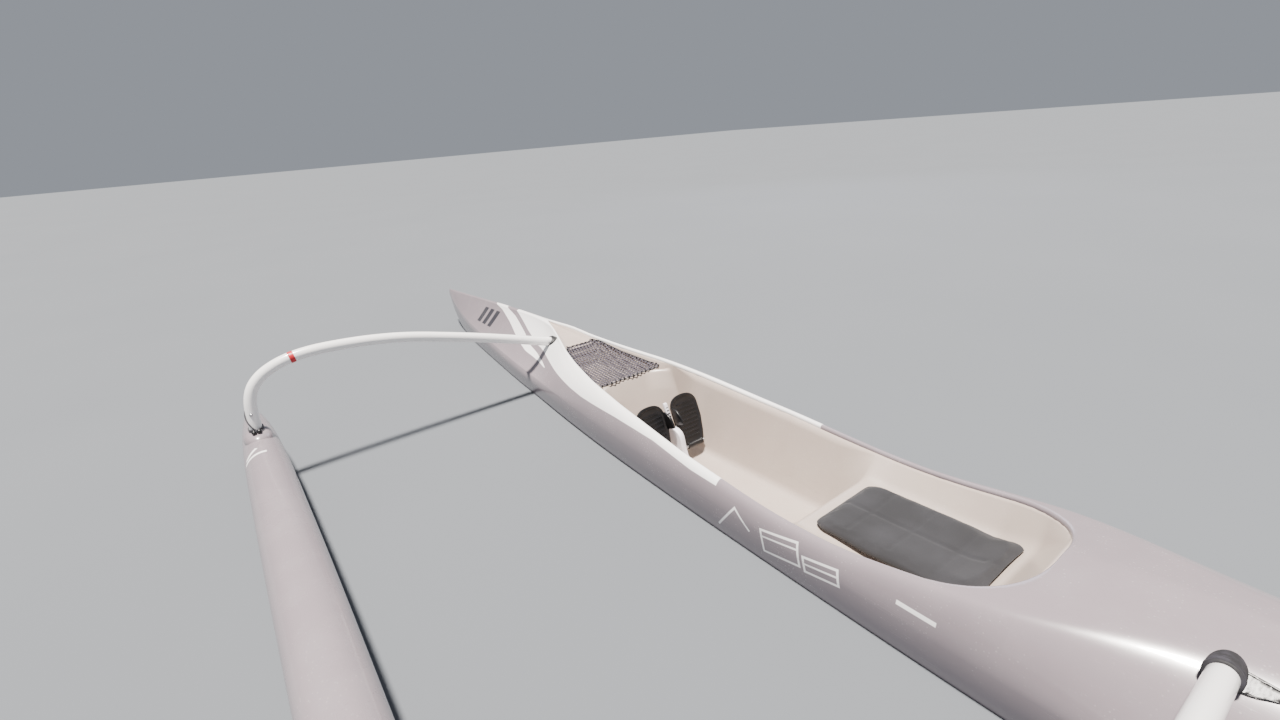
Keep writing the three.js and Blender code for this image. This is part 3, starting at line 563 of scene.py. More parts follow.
def braided_cord():
    """Braided polyester cord, matt with a slight sheen: strands that cross along its length, in the tube's UV
    of metres along and shares around."""
    material, add, _ = new_material("braided_cord_black")
    run, turn, _ = add("SeparateXYZ", {0: add("UVMap", {}, uv_map="UVMap")}).node.outputs
    run = add("Math", {0: run, 1: 2 * pi * scale_for(BRAID_PITCH)}, operation="MULTIPLY")
    turn = add("Math", {0: turn, 1: 2 * pi * BRAID_STRANDS}, operation="MULTIPLY")
    strands = []
    for operation in ("ADD", "SUBTRACT"):
        phase = add("Math", {0: run, 1: turn}, operation=operation)
        strands.append(add("Math", {0: phase}, operation="SINE"))
    weave = joined(add, "MAXIMUM", *strands)
    weave = add("Math", {0: weave, 1: 0.5, 2: 0.5}, operation="MULTIPLY_ADD")
    return finished(material, {
        "Base Color": add("Mix", {0: weave, 6: srgb("0c0c0e"), 7: srgb("33323a")}, 2, data_type="RGBA"),
        "Normal": add("Bump", {"Height": weave, "Strength": 0.7, "Distance": 0.4 * MM}),
        "Roughness": 0.8, "Sheen Weight": 0.25, "IOR": 1.53})


def net_yarn():
    """Knotless polyester netting, grey-lavender with darker worn strands and a little sheen."""
    material, add, place = new_material("knitted_net_grey")
    strands = add("TexNoise", {"Vector": place, "Scale": scale_for(6.67), "Detail": 3.0})
    strands = add("MapRange", {0: strands, 1: 0.38, 2: 0.62})
    fibres = add("TexNoise", {"Vector": place, "Scale": scale_for(0.67)})
    return finished(material, {
        "Base Color": add("Mix", {0: strands, 6: srgb("27222b"), 7: srgb("4a434f")}, 2, data_type="RGBA"),
        "Normal": add("Bump", {"Height": fibres, "Strength": 0.6, "Distance": 0.2 * MM}),
        "Roughness": 0.75, "Sheen Weight": 0.15, "IOR": 1.53})


def seat_foam():
    """Closed-cell EVA foam: matt charcoal, its top brushed. Its cells, under 1 mm across, are drawn at
    1.6 mm, coarse enough to show."""
    material, add, place = new_material("closed_cell_foam_charcoal")
    cells = add("TexVoronoi", {"Vector": place, "Scale": scale_for(1.6)})
    worn = add("TexNoise", {"Vector": place, "Scale": scale_for(91), "Detail": 5.0})
    worn = add("MapRange", {0: worn, 1: 0.35, 2: 0.8})
    return finished(material, {
        "Base Color": add("Mix", {0: worn, 6: srgb("1b1b1e"), 7: srgb("29292d")}, 2, data_type="RGBA"),
        "Normal": add("Bump", {"Height": cells, "Strength": 0.7, "Distance": 0.4 * MM}),
        "Roughness": 0.9, "Sheen Weight": 0.15, "IOR": 1.45})


def adhesive_tape():
    """Red vinyl tape: even colour, soft gloss, small creases."""
    material, add, place = new_material("vinyl_tape_red")
    creases = add("TexNoise", {"Vector": place, "Scale": scale_for(11.1), "Detail": 4.0})
    return finished(material, {
        "Base Color": add("Mix", {0: creases, 6: srgb("c4202c"), 7: srgb("a51824")}, 2, data_type="RGBA"),
        "Roughness": add("Math", {0: creases, 1: 0.3, 2: 0.28}, operation="MULTIPLY_ADD"),
        "Normal": add("Bump", {"Height": creases, "Strength": 0.3, "Distance": 0.3 * MM}),
        "IOR": 1.52})


def pale_floor():
    """Painted studio floor, pale and matt with a very faint mottle."""
    material, add, place = new_material("matt_studio_floor")
    mottle = add("TexNoise", {"Vector": place, "Scale": scale_for(1111)})
    return finished(material, {
        "Base Color": add("Mix", {0: mottle, 6: srgb("5e6267"), 7: srgb("62666b")}, 2, data_type="RGBA"),
        "Roughness": 0.9})


FINISHES = {
    "hull": hull_gelcoat(),
    "ama": ama_gelcoat(),
    "liner": liner_gelcoat(),
    "tube": tube_lacquer(),
    "black_plastic": moulded_plastic("moulded_nylon_black", srgb("0f0f11"), 0.36),
    "white_plastic": moulded_plastic("moulded_acetal_white", srgb("dcd8de"), 0.38),
    "rubber": sleeve_rubber(),
    "aluminium": anodised_aluminium(),
    "steel": stainless_steel(),
    "cord": braided_cord(),
    "net": net_yarn(),
    "foam": seat_foam(),
    "tape": adhesive_tape(),
    "floor": pale_floor(),
}

# Making pieces. Points closer than WELD are one.
WELD = 1e-6


def new_piece(name, bm, finish, body="root", smooth=True, stands_for=()):
    """A mesh object from a bmesh, with its material, body and slot."""
    mesh = bpy.data.meshes.new(name)
    bm.to_mesh(mesh)
    bm.free()
    piece = bpy.data.objects.new(name, mesh)
    bpy.context.collection.objects.link(piece)
    mesh.materials.append(FINISHES[finish])
    if smooth:
        for polygon in mesh.polygons:
            polygon.use_smooth = True
    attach(piece, body)
    if stands_for:
        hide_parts(*stands_for)
    return piece


def modifier(piece, kind, **settings):
    """Adds a modifier with its settings to a piece."""
    made = piece.modifiers.new(kind.lower(), kind)
    for name, value in settings.items():
        setattr(made, name, value)


def skin(rows, columns, place, uv=None):
    """A grid bent into a skin: place(row, column) gives each point, and uv(row, column) its UV."""
    bm = bmesh.new()
    bmesh.ops.create_grid(bm, x_segments=rows - 1, y_segments=columns - 1, size=0.5)
    spots = {vert: (round((vert.co.x + 0.5) * (rows - 1)), round((vert.co.y + 0.5) * (columns - 1)))
             for vert in bm.verts}
    if uv:
        layer = bm.loops.layers.uv.new("UVMap")
        for face in bm.faces:
            for loop in face.loops:
                loop[layer].uv = uv(*spots[loop.vert])
    for vert, spot in spots.items():
        vert.co = place(*spot)
    bmesh.ops.remove_doubles(bm, verts=bm.verts, dist=WELD)
    bmesh.ops.recalc_face_normals(bm, faces=bm.faces)
    return bm


def mirrored_skin(halves):
    """A skin through half-sections of points (s, y, z), each with its mirror image to starboard."""
    half = len(halves[0]) - 1

    def place(row, column):
        s, y, z = halves[row][abs(column - half)]
        return at(s, y if column >= half else -y, z)

    return skin(len(halves), 2 * half + 1, place)


def rounded_nose(distance, radius):
    """How full a section is at a distance from a rounded end."""
    p = min(max(distance / radius, 0.0), 1.0)
    return sqrt(1 - (1 - p) ** 2)


def spread(high, low, pitch, extra=()):
    """Stations from high to low at a pitch, with extra ones between them."""
    count = max(1, round((high - low) / pitch))
    places = {round(high - (high - low) * i / count, 3) for i in range(count + 1)}
    places |= {round(s, 3) for s in extra if low <= s <= high}
    ordered = sorted(places, reverse=True)
    return [s for i, s in enumerate(ordered) if i == 0 or ordered[i - 1] - s > 0.3]


# Usual distance between the stations of a long skin
STATION_PITCH = 34

# Hull and deck in one skin, open at the cockpit. HULL_NOSE: how far from its ends it is rounded.
HULL_WALL = 1.6
HULL_NOSE = 9.0
# The opening's point, where its back starts to close in and where it is closed, and how square that corner is
RIM_FRONT_S = 104
RIM_CORNER_S = -1490
RIM_BACK_S = -1622
RIM_CORNER = 2.5
# Radius of its rolled edge, and the height of the flange that hangs below
RIM_ROLL = 4.0
RIM_FLANGE = 14.0
# The opening's half-width below which its rolled edge fades out
RIM_FADE = 12
BILGE_STEPS = 12
SHOULDER_STEPS = 12
DECK_STEPS = 4
ROLL_STEPS = 3
BILGE_FULLNESS = 2.2


def rim_half(s):
    """Half-width of the cockpit's opening, 0 ahead of its point and behind its rounded back."""
    if s >= RIM_FRONT_S or s <= RIM_BACK_S:
        return 0.0
    top = cockpit_row(s)["top"]
    if s >= RIM_CORNER_S:
        return top
    p = (RIM_CORNER_S - s) / (RIM_CORNER_S - RIM_BACK_S)
    return top * (1 - p ** RIM_CORNER) ** (1 / RIM_CORNER)


def deck_height(row, y):
    """Height of the deck between its edge and the centreline."""
    p = min(1.0, abs(y) / max(row["edge"], 0.1))
    return row["edge_z"] + (row["ridge"] - row["edge_z"]) * (1 - p)


def hull_half_section(s):
    """Points (s, y, z) from the keel round the bilge and shoulder to the rim, and down inside it."""
    row = hull_row(s)
    thin = rounded_nose(min(BOW_S - s, s - STERN_S), HULL_NOSE)
    rim = rim_half(s)
    opened = min(1.0, rim / RIM_FADE)
    roll = RIM_ROLL * opened
    edge = max(row["edge"], rim + roll)
    points = []
    for i in range(BILGE_STEPS):
        across, down = arc(BILGE_FULLNESS, 1 - i / BILGE_STEPS)
        points.append((row["beam"] * across, row["beam_z"] - (row["beam_z"] - row["keel"]) * down))
    for i in range(SHOULDER_STEPS + 1):
        across, up = arc(row["full"], i / SHOULDER_STEPS)
        points.append((edge + (row["beam"] - edge) * across,
                       row["beam_z"] + (row["edge_z"] - row["beam_z"]) * up))
    for i in range(1, DECK_STEPS + 1):
        y = edge + (rim + roll - edge) * i / DECK_STEPS
        points.append((y, deck_height(row, y)))
    top = deck_height(row, rim + roll)
    for i in range(1, ROLL_STEPS + 1):
        angle = pi / 2 * i / ROLL_STEPS
        points.append((rim + roll * (1 - sin(angle)), top - roll * (1 - cos(angle))))
    points.append((rim, top - (roll + RIM_FLANGE * opened)))
    return [(s, y * thin, z) for y, z in points]


def hull_skin():
    # Distances of the closer stations from each end, from the cockpit's back and from its front point
    ends = (0, 0.7, 2, 4, 6.5, 9, 14, 22)
    rim_back = (0, 1, 3, 6, 10, 16, 24, 34, 46, 60, 76, 94, 112)
    rim_front = (0, 3, 9, 18)
    extra = [BOW_S - d for d in ends] + [STERN_S + d for d in ends]
    extra += [RIM_BACK_S + d for d in rim_back] + [RIM_FRONT_S - d for d in rim_front]
    stations = spread(BOW_S, STERN_S, STATION_PITCH, extra)
    bm = mirrored_skin([hull_half_section(s) for s in stations])
    piece = new_piece("hull_and_deck", bm, "hull", stands_for=(
        "hull_shell", "foredeck", "port_side_deck", "starboard_side_deck", "aft_deck"))
    modifier(piece, "SOLIDIFY", thickness=HULL_WALL * MM, offset=-1.0, use_even_offset=False)


hull_skin()

# Cockpit moulding
LINER_WALL = 2.5
LINER_PITCH = 24
# Radius of the corner between floor and wall, and the smaller one between the stations of the front wall
LINER_CORNER = 22.0
BULKHEAD_CORNER = 7.0
BULKHEAD_SPAN = (-396, -515)
# How far from a bend of the floor's side view its rounding starts
LINER_ROUND = 11.0
# How far the liner's edge is from the deck's rolled edge: to the side, and below
LINER_GAP = 1.2
LINER_DROP = 3
CORNER_SWEEP = 58.0
# Stations between which the front wall is swept aft at its sides, whole between the middle two
SWEEP_SPAN = (-300.0, -400.0, -512.0, -640.0)
# Share of the half-width where the sweep starts: at the shelf's height, and SHELF_FALL below it
SWEEP_STARTS = (0.55, 0.30)
SHELF_Z = 142
SHELF_FALL = 52
SWEEP_CURVE = 1.8
FLOOR_STEPS = 14
CORNER_STEPS = 6
WALL_STEPS = 8


def rounded_rows(rows, cut, steps=5):
    """Rows with the bends of their side view (s and floor height) rounded off."""
    eased = [rows[0]]
    for before, here, after in zip(rows, rows[1:], rows[2:]):
        ends = []
        for other in (before, after):
            reach = sqrt((other[0] - here[0]) ** 2 + (other[3] - here[3]) ** 2)
            share = min(cut, reach * 0.45) / max(reach, 0.01)
            ends.append([h + (o - h) * share for h, o in zip(here, other)])
        for i in range(steps + 1):
            p = i / steps
            eased.append([a * (1 - p) ** 2 + 2 * h * p * (1 - p) + b * p * p
                          for a, h, b in zip(ends[0], here, ends[1])])
    return eased + [rows[-1]]


def liner_rim(s):
    """The liner's edge under the rim: its half-width and height."""
    rim = max(rim_half(s) - LINER_GAP, 0.0)
    return rim, deck_height(hull_row(s), rim) - (RIM_ROLL + LINER_DROP) * min(1.0, rim / RIM_FADE)


def corner_sweep(s, floor_z, share):
    """How far aft the front wall's corners reach, by the share of the half-width."""
    ahead, full_from, full_to, behind = SWEEP_SPAN
    rising = (ahead - s) / (ahead - full_from)
    falling = (s - behind) / (full_to - behind)
    strength = min(1.0, max(0.0, rising), max(0.0, falling))
    below_shelf = min(1.0, max(0.0, (SHELF_Z - floor_z) / SHELF_FALL))
    starts = SWEEP_STARTS[0] + (SWEEP_STARTS[1] - SWEEP_STARTS[0]) * below_shelf
    return -CORNER_SWEEP * strength * max(0.0, (share - starts) / (1 - starts)) ** SWEEP_CURVE


def liner_half_section(values):
    """Points (s, y, z) from the floor's middle out to the rim."""
    s, _, floor, floor_z = values
    rim, top_z = liner_rim(s)
    top_z = max(top_z, floor_z)
    floor = min(floor, rim * 0.97)
    radius = BULKHEAD_CORNER if BULKHEAD_SPAN[1] < s < BULKHEAD_SPAN[0] else LINER_CORNER
    corner = min(radius, (top_z - floor_z) / 2.5, floor * 0.8)
    slope = Vector((rim - floor, top_z - floor_z))
    slope = slope.normalized() if slope.length > 0.01 else Vector((0, 1))
    start, bend = Vector((floor - corner, floor_z)), Vector((floor, floor_z))
    end = bend + slope * corner
    points = [Vector((start.x * i / FLOOR_STEPS, floor_z)) for i in range(FLOOR_STEPS)]
    for i in range(CORNER_STEPS + 1):
        p = i / CORNER_STEPS
        points.append(start * (1 - p) ** 2 + 2 * bend * p * (1 - p) + end * p * p)
    top = Vector((rim, top_z))
    points += [end + (top - end) * i / WALL_STEPS for i in range(1, WALL_STEPS + 1)]
    swept = []
    for p in points:
        share = min(1.0, p.x / max(rim, 1))
        aft = s + corner_sweep(s, floor_z, share)
        wide, high = liner_rim(aft)
        up = (p.y - floor_z) / max(top_z - floor_z, 1)
        swept.append((aft, p.x * wide / max(rim, 0.1), p.y + (max(high, floor_z) - top_z) * up))
    return swept


def cockpit_liner():
    rows = rounded_rows([list(row) for row in COCKPIT_TABLE], LINER_ROUND)
    finer = []
    for a, b in zip(rows, rows[1:]):
        count = max(1, round(sqrt((a[0] - b[0]) ** 2 + (a[3] - b[3]) ** 2) / LINER_PITCH))
        finer += [[u + (v - u) * i / count for u, v in zip(a, b)] for i in range(count)]
    finer.append(rows[-1])
    bm = mirrored_skin([liner_half_section(values) for values in finer])
    floor_face = max(bm.faces, key=lambda face: -face.calc_center_median().z * face.calc_area())
    if floor_face.normal.z < 0:
        bmesh.ops.reverse_faces(bm, faces=bm.faces)
    piece = new_piece("cockpit_moulding", bm, "liner", stands_for=("cockpit_liner",))
    modifier(piece, "SOLIDIFY", thickness=LINER_WALL * MM, offset=-1.0)


cockpit_liner()

# Tubes, cords, turned parts and plates


def catmull_rom(points, steps):
    """The centripetal Catmull-Rom curve through the points, with steps between each two."""
    ends = [2 * points[0] - points[1]] + list(points) + [2 * points[-1] - points[-2]]
    curve = []
    for p0, p1, p2, p3 in zip(ends, ends[1:], ends[2:], ends[3:]):
        d0, d1, d2 = (max(sqrt((b - a).length), 1e-6) for a, b in ((p0, p1), (p1, p2), (p2, p3)))
        m1 = ((p1 - p0) / d0 - (p2 - p0) / (d0 + d1) + (p2 - p1) / d1) * d1
        m2 = ((p2 - p1) / d1 - (p3 - p1) / (d1 + d2) + (p3 - p2) / d2) * d1
        for i in range(steps):
            t = i / steps
            curve.append(p1 + m1 * t + (3 * (p2 - p1) - 2 * m1 - m2) * t * t
                         + (2 * (p1 - p2) + m1 + m2) * t ** 3)
    return curve + [points[-1].copy()]


def even_spaced(path, pitch):
    """The same path with points a pitch apart, from end to end."""
    lengths = [0.0]
    for a, b in zip(path, path[1:]):
        lengths.append(lengths[-1] + (b - a).length)
    count = max(2, round(lengths[-1] / pitch))
    spaced = []
    k = 0
    for i in range(count + 1):
        target = lengths[-1] * i / count
        while k < len(path) - 2 and lengths[k + 1] < target:
            k += 1
        share = (target - lengths[k]) / max(lengths[k + 1] - lengths[k], 1e-9)
        spaced.append(path[k].lerp(path[k + 1], share))
    return spaced


def tube(path, radius, sides=20, closed=False, cap=0.35):
    """A tube along a path with rounded ends, or a closed ring.

    radius is in metres, or a function of the share of the way along."""
    count = len(path)
    tangents = []
    for i in range(count):
        before = path[i - 1] if i or closed else path[0]
        after = path[(i + 1) % count] if i < count - 1 or closed else path[-1]
        tangents.append((after - before).normalized())
    side = tangents[0].orthogonal().normalized()
    if abs(tangents[0].x) < 0.9:
        side = (Vector((1, 0, 0)) - tangents[0] * tangents[0].x).normalized()
    frames = []
    for i, tangent in enumerate(tangents):
        side = (side - tangent * side.dot(tangent)).normalized()
        frames.append((side.copy(), tangent.cross(side)))
    width = radius if callable(radius) else lambda share: radius
    rings = [(path[i], frames[i], width(i / max(count - 1, 1))) for i in range(count)]
    if closed:
        rings.append(rings[0])
    else:
        for end, step_out in ((0, -1), (-1, 1)):
            point, frame_at, size = rings[end]
            out = tangents[end] * step_out * size * cap
            ends = [(point + out * 0.6, frame_at, size * 0.86), (point + out, frame_at, size * 0.55),
                    (point + out, frame_at, 0.0)]
            rings = ends[::-1] + rings if end == 0 else rings + ends
    lengths = [0.0]
    for (a, _, _), (b, _, _) in zip(rings, rings[1:]):
        lengths.append(lengths[-1] + (b - a).length)

    def place(row, column):
        centre, (first, second), size = rings[row]
        angle = 2 * pi * column / sides
        return centre + (first * cos(angle) + second * sin(angle)) * size

    return skin(len(rings), sides + 1, place, uv=lambda row, column: (lengths[row], column / sides))


def merged(*parts):
    """Several bmeshes as one."""
    whole = bmesh.new()
    whole.loops.layers.uv.new("UVMap")
    for part in parts:
        mesh = bpy.data.meshes.new("part")
        part.to_mesh(mesh)
        part.free()
        whole.from_mesh(mesh)
        bpy.data.meshes.remove(mesh)
    return whole


def moved(bm, place, turn=Matrix()):
    """The same bmesh, turned about the origin and then carried to a place in metres."""
    bmesh.ops.transform(bm, matrix=Matrix.Translation(place) @ turn.to_4x4(), verts=bm.verts)
    return bm


def soften(bm, width, degrees=40, segments=2):
    """Bevels the edges where faces meet at more than an angle. width in millimetres."""
    sharp = [edge for edge in bm.edges if edge.calc_face_angle(0) > radians(degrees)]
    bmesh.ops.bevel(bm, geom=sharp, offset=width * MM, offset_type="OFFSET", affect="EDGES",
                    segments=segments, profile=0.5, material=-1)


def draw_out(bm, along):
    """Extrudes a sheet of faces along a vector into a closed solid, and gives the faces it ends in."""
    made = bmesh.ops.extrude_face_region(bm, geom=bm.faces[:])["geom"]
    bmesh.ops.translate(bm, vec=along, verts=[v for v in made if isinstance(v, bmesh.types.BMVert)])
    bmesh.ops.recalc_face_normals(bm, faces=bm.faces)
    return [face for face in made if isinstance(face, bmesh.types.BMFace)]


def plate(outline, along):
    """A flat outline of points, drawn out along a vector. Both in millimetres."""
    bm = bmesh.new()
    bm.faces.new([bm.verts.new(Vector(point) * MM) for point in outline])
    draw_out(bm, Vector(along) * MM)
    return bm


def prism(outline, depth, bevel, segments=2):
    """A bevelled outline in X and Z, given depth along Y about the middle plane. Millimetres."""
    bm = plate([(x, -depth / 2, z) for x, z in outline], (0, depth, 0))
    soften(bm, bevel, segments=segments)
    return bm


def turned(profile, place=(0, 0, 0), axis=UP, steps=40):
    """A turned solid from (radius, height) points in millimetres that start and end on the axis, or close."""
    bm = bmesh.new()
    verts = [bm.verts.new((r * MM, 0, h * MM)) for r, h in profile]
    edges = [bm.edges.new(pair) for pair in zip(verts, verts[1:])]
    bmesh.ops.spin(bm, geom=verts + edges, cent=(0, 0, 0), axis=UP, angle=2 * pi, steps=steps,
                   use_merge=True)
    bmesh.ops.remove_doubles(bm, verts=bm.verts, dist=WELD)
    bmesh.ops.recalc_face_normals(bm, faces=bm.faces)
    return moved(bm, place, UP.rotation_difference(axis.normalized()).to_matrix())


def block(size, place, bevel, turn=Matrix()):
    """A bevelled box. Size and bevel in millimetres, place in metres."""
    bm = bmesh.new()
    bmesh.ops.create_cube(bm, size=1)
    bmesh.ops.scale(bm, vec=Vector(size) * MM, verts=bm.verts)
    soften(bm, bevel)
    return moved(bm, place, turn)


def crease_by_angle(piece, degrees=35):
    """Sharp where faces meet at more than an angle, smooth elsewhere."""
    bm = bmesh.new()
    bm.from_mesh(piece.data)
    for edge in bm.edges:
        if len(edge.link_faces) == 2:
            edge.smooth = edge.calc_face_angle(0) < radians(degrees)
    bm.to_mesh(piece.data)
    bm.free()


# The float
AMA_NOSE_S = 335
AMA_PLUG_S = -1650
AMA_TAIL_S = -2200
AMA_ROUND = 13.0
AMA_SIDES = 48
AMA_BOTTOM_FULLNESS = 1.9
AMA_TOP_FULLNESS = 2.1


def ama_section(s, column):
    """A point (y, z) of the float's ring: column 0 is its port side, a quarter of the ring on its crown."""
    row = ama_row(s)
    thin = rounded_nose(min(AMA_NOSE_S - s, s - AMA_TAIL_S), AMA_ROUND)
    angle = 2 * pi * column / AMA_SIDES
    up = sin(angle) > 0
    across, rise = arc(AMA_TOP_FULLNESS if up else AMA_BOTTOM_FULLNESS,
                       abs(atan2(abs(sin(angle)), abs(cos(angle)))) / (pi / 2))
    y = row["half"] * across * (1 if cos(angle) > 0 else -1)
    z = (row["top"] - AMA_SEAM_Z) * rise if up else (row["keel"] - AMA_SEAM_Z) * rise
    return AMA_Y + y * thin, AMA_SEAM_Z + z * thin


def ama_float():
    ends = (0, 0.8, 2.5, 5, 9, 13, 20, 30)
    extra = [AMA_NOSE_S - d for d in ends] + [AMA_TAIL_S + d for d in ends]
    stations = spread(AMA_NOSE_S, AMA_TAIL_S, STATION_PITCH, extra)

    def place(row, column):
        y, z = ama_section(stations[row], column)
        return at(stations[row], y, z)

    bm = skin(len(stations), AMA_SIDES + 1, place)
    new_piece("ama_float", bm, "ama", stands_for=("ama_lower_shell", "ama_upper_shell"))
    spot = at(AMA_PLUG_S, AMA_Y, ama_row(AMA_PLUG_S)["top"])
    plug = turned([(0, 0), (8, 0), (8, 1.6), (7.2, 2.6), (5.2, 3.0), (4.6, 2.2), (0, 2.2)], spot, steps=28)
    slot_bar = block((8, 1.6, 1.4), spot + 2.4 * MM * UP, 0.3)
    piece = new_piece("ama_vent_screw", merged(plug, slot_bar), "black_plastic",
                      stands_for=("ama_vent_plug",))
    crease_by_angle(piece)


ama_float()

# Crossbeams and what holds them. Pitch of a path's points: along the tube, where it is cut to a part's ends,
# and where a place on the leg is looked up
IAKO_PITCH = 9 * MM
FINE_PITCH = 1.5 * MM
LEG_PITCH = 2 * MM
LEG_FROM_Y = 950
TAPE_Y = (850, 864)
TAPE_THICKNESS = 0.35
COLLAR_Y = {"front": (12, 51), "rear": (62, 124)}
COLLAR_WALL = 3.2
COLLAR_FLARE = 1.5
COLLAR_LIP = 0.9
SADDLE_STRETCH = 1.6
AMA_TOP_Z = {"front": 162, "rear": 160}
KNOB_AFT = 31
KNOB_SPREAD = 6.6
CORD_RADIUS = 2.0
# The cord lies this deep in the leg's surface, so that no gap shows
CORD_PRESS = 0.3
BUTTON_Z = 226
BUTTON_ANGLE = radians(168)


def iako_path(end, pitch=IAKO_PITCH):
    points = [Vector((IAKO_X[end], y * MM, z * MM)) for y, z in IAKO_ROUTE]
    return even_spaced(catmull_rom(points, 24), pitch)


def part_of_path(path, low_y, high_y):
    return [p for p in path if low_y * MM <= p.y <= high_y * MM]


def crossbeam(end):
    path = iako_path(end)
    new_piece(f"{end}_crossbeam", tube(path, IAKO_RADIUS * MM, 32, cap=0.1), "tube",
              stands_for=(f"{end}_iako",))
    fine = iako_path(end, FINE_PITCH)
    tape = tube(part_of_path(fine, *TAPE_Y), (IAKO_RADIUS + TAPE_THICKNESS) * MM, 32, cap=0.02)
    new_piece(f"{end}_tape_band", tape, "tape")
    low, high = COLLAR_Y[end]
    sleeve = part_of_path(fine, low, high)

    def sleeve_radius(share):
        lip = COLLAR_LIP if share > 0.9 or 0.78 < share < 0.82 else 0.0
        return (IAKO_RADIUS + COLLAR_WALL + lip + COLLAR_FLARE * (1 - share)) * MM

    new_piece(f"{end}_collar", tube(sleeve, sleeve_radius, 36, cap=0.05), "rubber",
              stands_for=(f"{end}_iako_collar",))


# A latch on the deck's slope just aft of each crossbeam: its inboard edge forward and aft, then its outboard
# edge aft and forward, as (distance aft, y)
LATCH = {"front": ((2, 41), (60, 50), (50, 57), (27, 62), (6, 65)),
         "rear": ((2, 88), (60, 92), (50, 106), (27, 114), (6, 118))}
LATCH_HEIGHT = 3.0
LATCH_SINK = 5
LATCH_STEPS = (16, 8)
# The thumb ribs on its face: their pitch and height
RIB_PITCH = 8.5
RIB_HEIGHT = 0.7


def shoulder_height(s, y):
    """Height of the hull's outside at a half-width between the cockpit's rim and its beam."""
    row = hull_row(s)
    edge = max(row["edge"], rim_half(s) + RIM_ROLL)
    if y <= edge:
        return deck_height(row, y)
    across = min(1.0, (y - edge) / (row["beam"] - edge))
    up = (1 - across ** row["full"]) ** (1 / row["full"])
    return row["beam_z"] + (row["edge_z"] - row["beam_z"]) * up


def latch_place(end, along, down):
    """A point of the deck under a latch, by shares of its length and of its width."""
    inner_fore, inner_aft, aft, outer_aft, outer_fore = LATCH[end]
    fore = [a + (b - a) * down for a, b in zip(inner_fore, outer_fore)]
    a, b, share = (inner_aft, aft, down * 2) if down < 0.5 else (aft, outer_aft, down * 2 - 1)
    back = [p + (q - p) * share for p, q in zip(a, b)]
    behind, y = (p + (q - p) * along for p, q in zip(fore, back))
    s = (IAKO_X[end] - IAKO_X["front"]) / MM - behind
    return at(s, y, shoulder_height(s, y))


def socket_latch(end):
    """A black moulded wedge on the deck that locks the crossbeam in its socket, ribbed for a thumb."""
    rows, columns = LATCH_STEPS
    bm = skin(rows + 1, columns + 1, lambda row, column: latch_place(end, row / rows, column / columns))
    out = sum((face.normal * face.calc_area() for face in bm.faces), Vector()).normalized()
    if out.z < 0:
        out = -out
    moved(bm, out * -LATCH_SINK * MM)
    top = draw_out(bm, out * (LATCH_SINK + LATCH_HEIGHT) * MM)
    bmesh.ops.inset_region(bm, faces=top, thickness=3.0 * MM, depth=0)
    bmesh.ops.inset_region(bm, faces=top, thickness=0.8 * MM, depth=-0.9 * MM)
    for vert in {v for face in top for v in face.verts}:
        vert.co += out * (RIB_HEIGHT * MM * max(0.0, sin(2 * pi * vert.co.x / (RIB_PITCH * MM))))
    soften(bm, 0.7, 50)
    piece = new_piece(f"{end}_socket_latch", bm, "black_plastic")
    crease_by_angle(piece, 40)


def leg_point(end, z, angle, away=0.0):
    """A point on a crossbeam's leg at a height; angle 0 is forward, 90 degrees to port."""
    leg = [p for p in iako_path(end, LEG_PITCH) if p.y > LEG_FROM_Y * MM]
    near = min(leg, key=lambda p: abs(p.z - z * MM))
    reach = (IAKO_RADIUS + away) * MM
    return near + Vector((cos(angle) * reach, sin(angle) * reach, 0))


def ama_fitting(end):
    """What holds a crossbeam's foot on the ama: pad, bolts with knobs, cord round the leg and snap button."""
    top = AMA_TOP_Z[end]
    pad = turned([(0, -30), (37, -30), (36.5, -8), (34, 0), (29, 7), (23, 10.4), (17.5, 11.5), (0, 11.5)],
                 steps=56)
    bmesh.ops.scale(pad, vec=(SADDLE_STRETCH, 1, 1), verts=pad.verts)
    moved(pad, Vector((IAKO_X[end], AMA_Y * MM, top * MM)))
    new_piece(f"{end}_ama_pad", pad, "ama", stands_for=(f"{end}_ama_saddle",))
    for hand, side in (("port", 1), ("starboard", -1)):
        place = Vector((IAKO_X[end] - KNOB_AFT * MM, (AMA_Y + side * KNOB_SPREAD) * MM, (top + 11) * MM))
        piece = new_piece(f"{end}_knob_{hand}", moved(fluted_knob(), place), "black_plastic",
                          stands_for=(f"{end}_ama_knob_{hand}",))
        crease_by_angle(piece, 50)
    cords = [leg_ring(end, top + 16), leg_ring(end, top + 20), diagonal_cord(end, top)]
    new_piece(f"{end}_leg_lashing", merged(*cords), "cord", stands_for=(f"{end}_ama_lashing",))
    button_place = leg_point(end, BUTTON_Z, BUTTON_ANGLE, -0.3)
    leg_middle = leg_point(end, BUTTON_Z, 0, -IAKO_RADIUS)
    profile = [(0, -1), (4.6, -1), (4.6, 0.4), (4.0, 0.9), (3.4, 0.9), (3.2, 1.6), (1.8, 2.6), (0, 2.9)]
    button = turned(profile, button_place, button_place - leg_middle, 24)
    new_piece(f"{end}_snap_button", button, "steel")


def fluted_knob():
    """A turned knob whose edge is fluted by eight finger grooves."""
    bm = turned([(0, 0), (3, 0), (3, 2.5), (5.2, 3), (6.0, 4.2), (6.2, 6), (6.0, 8), (5.2, 9.8), (3.2, 11),
                 (2.6, 10.5), (0, 10.3)], steps=48)
    for vert in bm.verts:
        reach = sqrt(vert.co.x ** 2 + vert.co.y ** 2)
        if reach > 4 * MM:
            groove = 1 - 0.09 * max(0.0, cos(8 * atan2(vert.co.y, vert.co.x))) ** 2
            vert.co.x *= groove
            vert.co.y *= groove
    return bm


